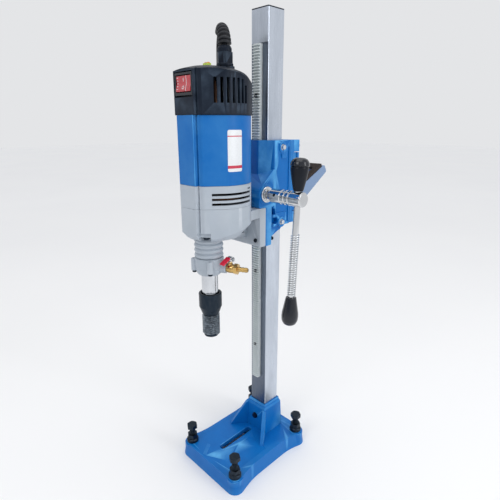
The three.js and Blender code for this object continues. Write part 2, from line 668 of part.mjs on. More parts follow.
/** The black cap: walls, a domed top, side slots, the switch well and the gland's hole. */
function rearCap() {
  const { blueTop: z0, capEdge, dome } = SEAM;
  const [half, front] = [23.5, MOTOR.front + 2];
  const cover = turned([[0, z0 - 5], [79, z0 - 5], [79, 711], [72, 724], [62, 742], [57, 748], [46, 753.5], [30, dome - 0.8], [0, dome]], [0, MOTOR.y - 13.5], 40);
  const hull = join(common(raised(motorOutline(1.5, half, front), z0, dome + 2, 24), cover), barZ(15.5, 740, dome, [0, GLAND.y], 20));
  const well = common(
    raised(new THREE.Shape().absarc(0, MOTOR.y, MOTOR.radius - MOTOR.wall, 0, Math.PI * 2, false), z0 - 2, dome, 24),
    turned([[0, z0 - 5], [54, z0 - 5], [54, 710], [46, 727], [26, 741], [0, 743]], [0, MOTOR.y], 32),
  );
  const slots = [];
  for (let k = 0; k < 7; k++) {
    const a = THREE.MathUtils.degToRad(-39.5 + k * (10 - 0.22 * k));
    const top = 735 - 1.6 * Math.max(0, k - 4) ** 2.6;
    for (const side of [1, -1])
      slots.push(block([38, -2.3, 699.7], [72, 2.3, top]).rotateZ(side > 0 ? a : Math.PI - a).translate(0, MOTOR.y, 0));
  }
  const y0 = front - 1.5;
  return cut(
    hull,
    well,
    ...slots,
    block([-22.3, y0 - 5, 708], [22.3, y0 + 8, 744]),
    block([-19.7, y0 - 5, 712.2], [19.7, MOTOR.y - 44, 741]),
    barZ(8.2, 715, dome + 5, [0, GLAND.y], 16),
    block([BUBBLE.x0 - GAP, BUBBLE.y0 - GAP, dome - 4 - GAP], [-BUBBLE.x0 + GAP, BUBBLE.y0 + 7 + GAP, dome + 5]),
  );
}

/** The switch's frame stands in the cap's well. */
function switchBezel() {
  const y = SWITCH_BACK;
  const outer = block([-21.3, y - 7, 710.6], [21.3, y - GAP, 742.4]);
  const throat = block([-19.3, y - 1, 713], [19.3, y + 6, 740.4]);
  return cut(join(outer, throat), block([-18.2, y - 10, 714.8], [18.2, y + 10, 739.2]));
}

/** The rocker: a wedge with two faces that tilts about a pin along X. */
function switchRocker() {
  const y = SWITCH_BACK;
  const [z, h] = [727, 11];
  return across([[y - 4, z - h], [y - 7.4, z - h], [y - 8.2, z - h + 2], [y - 5.6, z], [y - 6.4, z + h], [y - 2.4, z + h], [y + 3, z]], -17.6, 17.6);
}

function bubbleLevel() {
  return block([BUBBLE.x0, BUBBLE.y0, SEAM.dome - 4], [-BUBBLE.x0, BUBBLE.y0 + 7, SEAM.dome + 3.5]);
}

/** The cable gland: a flange, a hexagon and a domed clamping nut, with a bore for the boot. */
function glandNut() {
  const { y, base, flats, top } = GLAND;
  const at = [0, y];
  const body = join(
    barZ(13.6, base, base + 3.6, at),
    barZ(hexRadius(flats), base + 3, top - 8, at, 6),
    turned([[0, top - 9], [11.4, top - 9], [11.4, top - 4], [9.2, top], [0, top]], at),
    barZ(7.8, SEAM.dome - 14, base + 1, at, 16),
  );
  return cut(body, barZ(CORD.radius + 0.9, base - 20, top + 2, at, 12));
}

const CORD_STEPS = 52;
const ARCH = { radius: 31, heading: new THREE.Vector3(-0.85, 0.527, 0), base: 786 };

/** A point on the cord's half-round arch over the cap, by its angle from the gland. */
function archPoint(angle) {
  const along = ARCH.radius * (1 - Math.cos(angle));
  return new THREE.Vector3(0, GLAND.y, ARCH.base + ARCH.radius * Math.sin(angle)).addScaledVector(ARCH.heading, along);
}

/** A round tube along a curve, with `steps` along it and `sides` round it. */
function tube(curve, radius, steps, sides = 10) {
  const section = new THREE.Shape();
  for (let i = 0; i < sides; i++) {
    const a = (i * Math.PI * 2) / sides;
    if (i) section.lineTo(radius * Math.cos(a), radius * Math.sin(a));
    else section.moveTo(radius, 0);
  }
  return new THREE.ExtrudeGeometry(section, { steps, bevelEnabled: false, extrudePath: curve });
}

/** The bend relief: a ribbed, tapered boot over the start of the cord. */
function strainBoot() {
  const start = Math.asin((GLAND.top + 1 - ARCH.base) / (ARCH.radius - 11));
  const points = [];
  for (let k = 0; k <= 8; k++) points.push(archPoint(start + (k / 8) * 1.9));
  const curve = new THREE.CatmullRomCurve3(points);
  const steps = 24;
  const body = tube(curve, 1, steps, 10);
  const place = body.getAttribute("position");
  const frames = curve.getSpacedPoints(steps);
  for (let i = 0; i < place.count; i++) {
    const p = new THREE.Vector3().fromBufferAttribute(place, i);
    let best = 0;
    frames.forEach((f, k) => {
      if (f.distanceToSquared(p) < frames[best].distanceToSquared(p)) best = k;
    });
    const t = best / steps;
    const rib = best % 5 < 3 && best > 1 ? 1 : 0.8;
    const r = (11 - 3 * t) * rib;
    p.sub(frames[best]).multiplyScalar(r).add(frames[best]);
    place.setXYZ(i, p.x, p.y, p.z);
  }
  return surface(solid(body).subtract(solid(tube(cordRun(), CORD.radius + GAP, CORD_STEPS, 8))));
}

/** The cord's free run: up out of the gland, over the arch and down to the coil. */
function cordRun() {
  const points = [new THREE.Vector3(0, GLAND.y, GLAND.base + 4), new THREE.Vector3(0, GLAND.y, GLAND.base + 16)];
  for (let k = 0; k <= 8; k++) points.push(archPoint((k * Math.PI) / 8));
  points.push(
    new THREE.Vector3(-53.5, -66, 755),
    new THREE.Vector3(-56, -68, 715),
    new THREE.Vector3(-62, -74, 670),
    new THREE.Vector3(-71, -82, 625),
    new THREE.Vector3(-80.5, -90, 588),
    new THREE.Vector3(-85.6, -94, 557),
  );
  return new THREE.CatmullRomCurve3(points, false, "centripetal");
}

function cordCoil() {
  const { radius: r, mean, coilX, coilY, coilZ, turnsWide } = CORD;
  const [a, b, w] = [mean - 1.9 * r, mean + 1.9 * r, turnsWide * r];
  const profile = [[a, -w + r], [a + r, -w], [b - r, -w], [b, -w + r], [b, w - r], [b - r, w], [a + r, w], [a, w - r]];
  return turned(profile, [0, 0], 28).rotateY(Math.PI / 2).translate(coilX, coilY, coilZ);
}

/** The tie holds the coil's turns together at the bottom. */
function cordTie() {
  const { radius: r, mean, coilX, coilY, coilZ, turnsWide } = CORD;
  const [h, w] = [1.9 * r + GAP + 0.2, turnsWide * r + GAP];
  const z = coilZ - mean;
  const outer = block([coilX - w - 1.8, coilY - 8, z - h - 2], [coilX + w + 1.8, coilY + 8, z + h + 3.2]);
  return cut(outer, block([coilX - w, coilY - 9, z - h], [coilX + w, coilY + 9, z + h + 1.4]));
}

/** A straight mains plug strapped upright to the coil's outer face by the tie. */
function cordPlug() {
  const { coilX, coilY, coilZ, mean, radius: r, turnsWide } = CORD;
  const at = [coilX - turnsWide * r - 2.1 - GAP - 17.8, coilY - 13];
  const z = coilZ - mean - 17;
  const outline = [[0, z], [17, z], [17.5, z + 3], [17.5, z + 34], [12, z + 46], [7, z + 56], [5.8, z + 66], [0, z + 66]];
  const pin = (dy) => barZ(2.4, z - 19, z + 2, [at[0], at[1] + dy], 10);
  return join(turned(outline, at, 20), pin(-9.5), pin(9.5));
}

// ---- Wet end: neck, water housing, valve, spindle and adapter ----

function neckHousing() {
  const at = [0, SPINDLE_Y];
  const [z0, z1] = [WATER.top + GAP, NECK_TOP];
  const rings = 4;
  const step = (z1 - z0) / rings;
  const profile = [[11.5, z0]];
  for (let k = 0; k < rings; k++) {
    const z = z0 + k * step;
    profile.push([23.2, z], [25.4, z + step * 0.3], [25.4, z + step * 0.62], [23.2, z + step * 0.9]);
  }
  profile.push([23.2, z1], [11.5, z1]);
  return turned(profile, at, 22);
}

const WATER_BOSSES = [-36, -126, 54, 144].map((d) => THREE.MathUtils.degToRad(d));
const bossPlace = (a, r = WATER.radius + 0.5) => [r * Math.cos(a), SPINDLE_Y + r * Math.sin(a)];

function waterHousing() {
  const { top, bottom, radius } = WATER;
  const at = [0, SPINDLE_Y];
  const bowl = turned([[0, bottom], [18.5, bottom], [21, bottom + 2], [24, bottom + 9], [radius - 1, bottom + 10], [radius - 1, bottom + 13], [radius, bottom + 14], [radius, top - 2], [radius - 1.5, top], [0, top]], at, 22);
  const bosses = WATER_BOSSES.map((a) => barZ(5.4, bottom + 8, top - 2, bossPlace(a), 14));
  const inlet = barX(9.5, radius - 5, 31, [0, VALVE.z], 16).rotateZ(VALVE.angle).translate(0, SPINDLE_Y, 0);
  const passage = barX(3.5, 10, 40, [0, VALVE.z], 10).rotateZ(VALVE.angle).translate(0, SPINDLE_Y, 0);
  return cut(
    join(bowl, ...bosses, inlet),
    barZ(15.2, bottom - 1, top + 1, at),
    passage,
    ...WATER_BOSSES.map((a) => barZ(2.7, bottom, bottom + 22, bossPlace(a), 8)),
  );
}

function waterScrew(a) {
  const at = bossPlace(a);
  const z = WATER.bottom + 8 - GAP;
  return cut(join(barZ(3.9, z - 3.6, z, at, 12), barZ(2.3, z - 1, z + 12, at, 8)), barZ(2.2, z - 5, z - 1.8, at, 6));
}

/** Along the valve's axis: body with a stem boss, a hexagon, and a ribbed hose tail. */
function valveBody() {
  const barb = [[0, 31.3], [6.6, 31.3], [6.6, 34], [7.6, 36], [7.6, 43], [6.6, 45.5], [6.6, 46.4], [0, 46.4]];
  const tail = [[0, 52], [4.4, 52], [4.4, 55]];
  for (const x of [57, 62, 67]) tail.push([3.7, x], [4.6, x + 1], [3.9, x + 4.2]);
  tail.push([3.7, 72], [0, 72]);
  const body = join(
    turned(barb, [0, 0], 16).rotateY(Math.PI / 2),
    barX(9, 46, 53, [0, 0], 6),
    turned(tail, [0, 0], 14).rotateY(Math.PI / 2),
    barZ(3.6, 0, 11.5, [39.5, 0], 12),
  );
  return cut(body, barX(2.4, 30, 80, [0, 0], 10)).rotateZ(VALVE.angle).translate(0, SPINDLE_Y, VALVE.z);
}

/** The valve's handle: a plate on the stem that turns down into a sleeve. */
function valveLever() {
  const z = 11.5 + GAP;
  const arm = across([[-5, z], [-5, z + 5.5], [-10, z + 8], [-32, z - 3], [-31, z - 5.4], [-9.6, z + 4.8], [-6.6, z + 3], [-6.6, z]], -5, 5);
  const cap = block([-5, -6.6, z], [5, 6, z + 3]);
  const post = block([-5, 2.5, z + 2], [5, 6, z + 9]);
  return join(arm, cap, post).rotateZ(-VALVE.angle).translate(39.5, 0, 0).rotateZ(VALVE.angle).translate(0, SPINDLE_Y, VALVE.z);
}

/** The spindle and its gear: hollow for water, with two flats for a spanner. */
function outputSpindle() {
  const at = [0, SPINDLE_Y];
  const shaft = turned(
    [[0, ADAPTER.rim - 26], [7.7, ADAPTER.rim - 26], [7.7, ADAPTER.rim - 8], [14.5, ADAPTER.rim - 8], [14.5, WATER.top - 4], [11, WATER.top - 2], [11, 497.5], [GEARS.output, 497.5], [GEARS.output, 508], [8, 508], [8, 531], [0, 531]],
    at,
  );
  const flat = (side) => block([-20, -20, 392], [20, -12.4, 412]).rotateZ(side > 0 ? 0.9 : 0.9 + Math.PI).translate(0, SPINDLE_Y, 0);
  return cut(shaft, flat(1), flat(-1), barZ(4, ADAPTER.rim - 30, 450, at, 12), barX(2.5, -20, 20, [0, VALVE.z], 8).translate(0, SPINDLE_Y, 0));
}

/** The adapter: a cup on the spindle, a body with flats, and the male thread for the core bit. */
function adapter() {
  const { rim, body, shoulder, end, radius, thread, pitch } = ADAPTER;
  const at = [0, SPINDLE_Y];
  const outer = [[6, end], [thread - 2.6, end], [thread - 0.9, end + 3]];
  for (let z = end + 4; z + pitch < shoulder - 2; z += pitch) outer.push([thread, z], [thread, z + 0.8], [thread - 1.7, z + pitch * 0.62]);
  outer.push([thread - 0.6, shoulder], [radius - 1.4, body - 3], [radius, body], [radius, rim - 0.8], [radius - 1, rim]);
  outer.push([radius - 3.6, rim], [radius - 4.2, rim - 8.4], [8.1, rim - 8.4], [8.1, rim - 27], [6, rim - 27]);
  const flat = (side) => block([-30, -40, body - 6], [30, -17.6, rim - 9]).rotateZ(side > 0 ? 1.05 : 1.05 + Math.PI).translate(0, SPINDLE_Y, 0);
  return cut(turned(outer, at, 16), flat(1), flat(-1));
}

// ---- Inside the motor ----

/** The armature: its shaft carries the core, the fan, the commutator and the pitch cylinder of its pinion. */
function armature() {
  const profile = [
    [0, 511], [GEARS.motorPinion, 511], [GEARS.motorPinion, 526], [5, 527], [5, 546], [42, 548], [42, 556],
    [8, 560], [8, 592], [29.5, 592], [29.5, 656], [8, 656], [8, 676], [15, 676], [15, 696], [5, 696], [5, 735], [0, 735],
  ];
  return turned(profile, [0, MOTOR.y], 20);
}

function stator() {
  return sleeveZ(31, MOTOR.radius - MOTOR.wall - 1, 590, 658, [0, MOTOR.y], 24);
}

function countershaft() {
  const { gear, pinion } = COUNTER;
  return turned([[0, 496], [pinion, 496], [pinion, 509.5], [gear, 509.5], [gear, 522], [4.2, 522], [4.2, 533], [0, 533]], [COUNTER.x, COUNTER.y], 20);
}

function addMotor() {
  piece("motor_housing", motorHousing(), BLUE);
  piece("rear_cap", rearCap(), BLACK);
  piece("vent_ring", ventRing(), GREY);
  piece("gear_case", gearCase(), GREY);
  piece("gear_case_screw_front", caseScrew(CASE_SCREWS[1]), DARK_STEEL);
  piece("gear_case_screw_side", caseScrew(CASE_SCREWS[0]), DARK_STEEL);
  piece("switch_bezel", switchBezel(), BLACK);
  piece("switch_rocker", switchRocker(), RED);
  piece("bubble_level", bubbleLevel(), paint(0xb8d94a, 0.2, 0));
  piece("gland_nut", glandNut(), BLACK);
  piece("stator", stator(), COPPER);
  piece("armature", armature(), COPPER);
  piece("countershaft", countershaft(), ZINC);
}

function addWetEnd() {
  piece("neck_housing", neckHousing(), GREY);
  piece("water_housing", waterHousing(), GREY);
  piece("water_screw_front", waterScrew(WATER_BOSSES[0]), DARK_STEEL);
  piece("water_screw_side", waterScrew(WATER_BOSSES[1]), DARK_STEEL);
  piece("valve_body", valveBody(), BRASS);
  piece("valve_lever", valveLever(), RED);
  piece("output_spindle", outputSpindle(), ZINC);
  piece("thread_adapter", adapter(), DARK_STEEL);
}

function addCord() {
  piece("strain_boot", strainBoot(), BLACK);
  piece("power_cord", tube(cordRun(), CORD.radius, CORD_STEPS, 8), BLACK);
  piece("cord_coil", cordCoil(), BLACK);
  piece("cord_tie", cordTie(), BLACK);
  piece("cord_plug", cordPlug(), BLACK);
}

addStand();
addCarriage();
addCrank();
addMotor();
addWetEnd();
addCord();

export default group;
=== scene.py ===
"""The looks of a core drill rig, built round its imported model.

A motor with a wet spindle hangs on a carriage that a crank drives along a square column. The column
stands in a cast base with four levelling screws. Shapes are worked out in millimetres in the model's
own frame, where +Z is up, the drill faces -Y and the crank is on +X, and are handed over in metres.
"""

from __future__ import annotations

import logging
import math
from dataclasses import dataclass, field
from enum import Enum
from typing import Sequence

import bmesh
import bpy
from mathutils import Matrix, Vector

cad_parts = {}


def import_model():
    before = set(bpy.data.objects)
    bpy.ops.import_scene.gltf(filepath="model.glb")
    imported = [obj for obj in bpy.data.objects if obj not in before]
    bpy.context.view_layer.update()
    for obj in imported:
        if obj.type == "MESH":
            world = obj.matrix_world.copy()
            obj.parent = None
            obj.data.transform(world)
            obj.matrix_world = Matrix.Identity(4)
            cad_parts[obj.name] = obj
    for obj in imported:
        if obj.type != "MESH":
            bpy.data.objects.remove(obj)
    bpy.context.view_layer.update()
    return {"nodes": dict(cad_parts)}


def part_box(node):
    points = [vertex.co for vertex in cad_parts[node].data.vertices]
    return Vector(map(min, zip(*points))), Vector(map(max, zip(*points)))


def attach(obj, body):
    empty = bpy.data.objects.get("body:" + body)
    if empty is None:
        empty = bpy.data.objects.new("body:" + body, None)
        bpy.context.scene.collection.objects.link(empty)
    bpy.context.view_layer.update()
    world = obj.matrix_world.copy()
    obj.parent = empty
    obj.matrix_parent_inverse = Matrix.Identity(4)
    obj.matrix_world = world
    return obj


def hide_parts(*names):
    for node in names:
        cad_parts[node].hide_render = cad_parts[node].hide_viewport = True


LOG = logging.getLogger("core_drill_rig")
MM = 0.001
Point = tuple[float, float]
Place = tuple[float, float, float]
Rgb = tuple[float, float, float]


class Axis(Enum):
    """The direction that a bar, a lathe shape or a prism runs in, as the turn from Z onto it."""

    X = ((0, 0, 1), (1, 0, 0), (0, 1, 0))
    Y = ((1, 0, 0), (0, 0, 1), (0, 1, 0))
    Z = ((1, 0, 0), (0, 1, 0), (0, 0, 1))

    def turn(self) -> Matrix:
        """The 3x3 turn that carries a shape drawn along Z onto this axis."""
        return Matrix(self.value)


# ---- Finishes ----


class Sheet:
    """A material's node sheet with short ways to add the nodes that the finishes share."""

    def __init__(self, name: str) -> None:
        """Starts a material with a Principled shader wired to its output.

        Args:
            name: the material's name.
        """
        self.material = bpy.data.materials.new(name)
        self.material.use_nodes = True
        self.tree = self.material.node_tree
        self.tree.nodes.clear()
        output = self.add("OutputMaterial")
        self.shader = self.add("BsdfPrincipled")
        self.tree.links.new(self.shader.outputs[0], output.inputs[0])

    def add(self, kind: str, **inputs: object) -> bpy.types.Node:
        """Adds a node.

        Args:
            kind: the node's type without its ShaderNode prefix.
            inputs: values or sockets for the inputs, by name with underscores for spaces.

        Returns:
            The new node.
        """
        node = self.tree.nodes.new("ShaderNode" + kind)
        for name, value in inputs.items():
            self.put(node.inputs[name.replace("_", " ")], value)
        return node

    def put(self, socket: bpy.types.NodeSocket, value: object) -> None:
        """Links a socket to an output, or sets its value.

        Args:
            socket: the input.
            value: an output socket, a number, or a colour of three numbers.
        """
        if isinstance(value, bpy.types.NodeSocket):
            self.tree.links.new(value, socket)
        elif isinstance(value, tuple) and len(value) == 3 and socket.type == "RGBA":
            socket.default_value = (*value, 1.0)
        else:
            socket.default_value = value

    def coordinates(self, stretch: Place = (1, 1, 1), turn: Place = (0, 0, 0)) -> bpy.types.NodeSocket:
        """Object coordinates, stretched and turned.

        Args:
            stretch: how many times finer the pattern is along each axis.
            turn: the pattern's turn in radians.

        Returns:
            The output with the coordinates.
        """
        place = self.add("TexCoord").outputs["Object"]
        return self.add("Mapping", Vector=place, Scale=stretch, Rotation=turn).outputs[0]

    def noise(
        self, place: bpy.types.NodeSocket, size: float, detail: float = 3.0, rough: float = 0.55
    ) -> bpy.types.NodeSocket:
        """A noise of a real size.

        Args:
            place: the coordinates.
            size: the size of a blotch, in millimetres.
            detail: how many finer layers it has.
            rough: the strength of the finer layers.

        Returns:
            The output from 0 to 1.
        """
        node = self.add("TexNoise", Vector=place, Scale=1 / (size * MM), Detail=detail, Roughness=rough)
        return node.outputs["Fac"]

    def span(
        self, value: bpy.types.NodeSocket, low: float, high: float, start: float = 0.3, end: float = 0.7
    ) -> bpy.types.NodeSocket:
        """Maps a value between start and end onto a span, and holds it there.

        Args:
            value: the output to map.
            low: the result at start.
            high: the result at end.
            start: the lower limit of the value.
            end: the upper limit of the value.

        Returns:
            The output of the map.
        """
        node = self.add("MapRange", Value=value, From_Min=start, From_Max=end, To_Min=low, To_Max=high)
        return node.outputs[0]

    def mix(self, share: bpy.types.NodeSocket, first: object, second: object) -> bpy.types.NodeSocket:
        """Mixes two colours.

        Args:
            share: how much of the second colour shows.
            first: a colour or an output.
            second: a colour or an output.

        Returns:
            The output with the colour.
        """
        node = self.tree.nodes.new("ShaderNodeMix")
        node.data_type = "RGBA"
        self.put(node.inputs["Factor"], share)
        self.put(node.inputs[6], first)
        self.put(node.inputs[7], second)
        return node.outputs[2]

    def maths(self, operation: str, *values: object) -> bpy.types.NodeSocket:
        """Does a sum on one or two values.

        Args:
            operation: the node's operation.
            values: numbers or outputs.

        Returns:
            The output with the result.
        """
        node = self.tree.nodes.new("ShaderNodeMath")
        node.operation = operation
        for socket, value in zip(node.inputs, values):
            self.put(socket, value)
        return node.outputs[0]

    def bump(
        self, height: bpy.types.NodeSocket, depth: float, strength: float = 1.0, under: object = None
    ) -> bpy.types.NodeSocket:
        """A bump of a real depth.

        Args:
            height: the height from 0 to 1.
            depth: the depth in millimetres.
            strength: how much of it shows.
            under: another bump that this one lies on.

        Returns:
            The output with the normal.
        """
        node = self.add("Bump", Height=height, Strength=strength, Distance=depth * MM)
        if under is not None:
            self.put(node.inputs["Normal"], under)
        return node.outputs[0]

    def set(self, **inputs: object) -> None:
        """Sets the shader's inputs, by name with underscores for spaces."""
        for name, value in inputs.items():
            self.put(self.shader.inputs[name.replace("_", " ")], value)


@dataclass(frozen=True)
class Finish:
    """A coated or moulded surface: two close colours in soft blotches, a fine grain, and lighter edges that are
    partly worn coat and partly a painted highlight.
    """

    slot: str
    colour: Rgb
    shade: Rgb
    roughness: Point
    grain: float = 0.6
    depth: float = 0.02
    blotch: float = 16.0
    swell: float = 0.0
    metallic: float = 0.0
    coat: float = 0.0
    # colour of convex edges: partly worn coat, partly a painted highlight
    edge_wear_and_highlight: Rgb | None = None
    gloss: float = 0.2

    def build(self, name: str) -> bpy.types.Material:
        """Makes the material.

        Args:
            name: the material's name.

        Returns:
            The material.
        """
        sheet = Sheet(name)
        place = sheet.coordinates()
        blotch = sheet.noise(place, self.blotch, 4)
        grain = sheet.noise(place, self.grain, 2)
        colour = sheet.mix(sheet.span(blotch, 0, 1), self.colour, self.shade)
        # Convex edges, found by pointiness, take the lighter colour: partly worn coat, partly a painted highlight
        # along the edges.
        if self.edge_wear_and_highlight:
            edge = sheet.add("NewGeometry").outputs["Pointiness"]
            wear_and_highlight_share = sheet.maths("MULTIPLY", sheet.span(edge, 0, 1, 0.515, 0.6), sheet.span(blotch, 0.2, 1))
            colour = sheet.mix(wear_and_highlight_share, colour, self.edge_wear_and_highlight)
        normal = None
        if self.swell:
            normal = sheet.bump(sheet.noise(place, 5.0, 2), self.swell, 0.8)
        normal = sheet.bump(grain, self.depth, 0.8, normal)
        sheet.set(
            Base_Color=colour, Metallic=self.metallic, Normal=normal, Coat_Weight=self.coat,
            Coat_Roughness=0.2, Specular_IOR_Level=self.gloss
        )
        sheet.set(
            Roughness=sheet.span(
                sheet.maths("MULTIPLY_ADD", grain, 0.5, sheet.maths("MULTIPLY", blotch, 0.5)), *self.roughness
            )
        )
        return sheet.material


@dataclass(frozen=True)
class Metal:
    """Bare or plated metal: streaks along one direction, stains, scratches in the gloss, and an optional painted
    shadow that darkens the front face below a height.
    """

    slot: str
    colour: Rgb
    stain: Rgb
    roughness: Point
    streak: float = 0.35
    stretch: Place = (1, 1, 0.02)
    depth: float = 0.004
    blotch: float = 22.0
    blotch_stretch: Place = (1, 1, 0.35)
    # painted shade: the y of a plane, a height, and how dark the colour gets in front of the plane and below the
    # height
    painted_shade: Place | None = None

    def build(self, name: str) -> bpy.types.Material:
        """Makes the material.

        Args:
            name: the material's name.

        Returns:
            The material.
        """
        sheet = Sheet(name)
        streak = sheet.noise(sheet.coordinates(self.stretch), self.streak, 4, 0.7)
        stain = sheet.noise(sheet.coordinates(self.blotch_stretch), self.blotch, 5, 0.6)
        share = sheet.maths("MULTIPLY", sheet.span(stain, 0, 1, 0.38, 0.72), sheet.span(streak, 0.4, 1))
        rough = sheet.maths("MULTIPLY_ADD", streak, 0.6, sheet.maths("MULTIPLY", stain, 0.4))
        colour = sheet.mix(share, self.colour, self.stain)
        # Painted shadow: in front of the plane and below the height the colour is darkened, as the shade that falls
        # there.
        if self.painted_shade:
            front, top, shade = self.painted_shade
            place = sheet.add("SeparateXYZ", Vector=sheet.coordinates())
            in_painted_shade = sheet.maths(
                "MULTIPLY", sheet.maths("LESS_THAN", place.outputs["Y"], front * MM),
                sheet.maths("LESS_THAN", place.outputs["Z"], top * MM)
            )
            colour = sheet.mix(in_painted_shade, colour, tuple(shade * c * c for c in self.colour))
        sheet.set(
            Base_Color=colour,
            Metallic=1.0,
            Roughness=sheet.span(rough, *self.roughness, 0.35, 0.65),
            Normal=sheet.bump(streak, self.depth, 0.7),
        )
        return sheet.material


@dataclass(frozen=True)
class Clear:
    """A clear coloured moulding, such as a switch's rocker or a vial, with a faint painted glow in place of the
    light that it lets through.
    """

    slot: str
    colour: Rgb
    painted_glow: float = 0.0

    def build(self, name: str) -> bpy.types.Material:
        """Makes the material.

        Args:
            name: the material's name.

        Returns:
            The material.
        """
        sheet = Sheet(name)
        cloud = sheet.noise(sheet.coordinates(), 4.0, 3)
        deep = tuple(0.6 * c for c in self.colour)
        sheet.set(
            Base_Color=sheet.mix(sheet.span(cloud, 0, 1), self.colour, deep),
            Roughness=sheet.span(cloud, 0.12, 0.22),
            # Painted glow: a faint emission stands in for light passing through the moulding.
            Emission_Color=self.colour,
            Emission_Strength=self.painted_glow,
            Coat_Weight=0.5,
        )
        return sheet.material


@dataclass(frozen=True)
class Printed:
    """A satin sticker whose bands are printed across its height, in the piece's own coordinates."""

    slot: str
    ground: Rgb
    ink: Rgb
    bands: tuple[Point, ...]

    def build(self, name: str) -> bpy.types.Material:
        """Makes the material.

        Args:
            name: the material's name.

        Returns:
            The material.
        """
        sheet = Sheet(name)
        place = sheet.coordinates()
        height = sheet.add("SeparateXYZ", Vector=place).outputs["Z"]
        share: object = 0.0
        for low, high in self.bands:
            inside = sheet.maths(
                "MULTIPLY", sheet.maths("GREATER_THAN", height, low * MM),
                sheet.maths("LESS_THAN", height, high * MM)
            )
            share = inside if isinstance(share, float) else sheet.maths("ADD", share, inside)
        fibre = sheet.noise(place, 2.0, 3)
        ground = sheet.mix(sheet.span(fibre, 0, 1), self.ground, tuple(0.93 * c for c in self.ground))
        sheet.set(
            Base_Color=sheet.mix(share, ground, self.ink), Roughness=sheet.span(fibre, 0.28, 0.4),
            Coat_Weight=0.3
        )
        return sheet.material


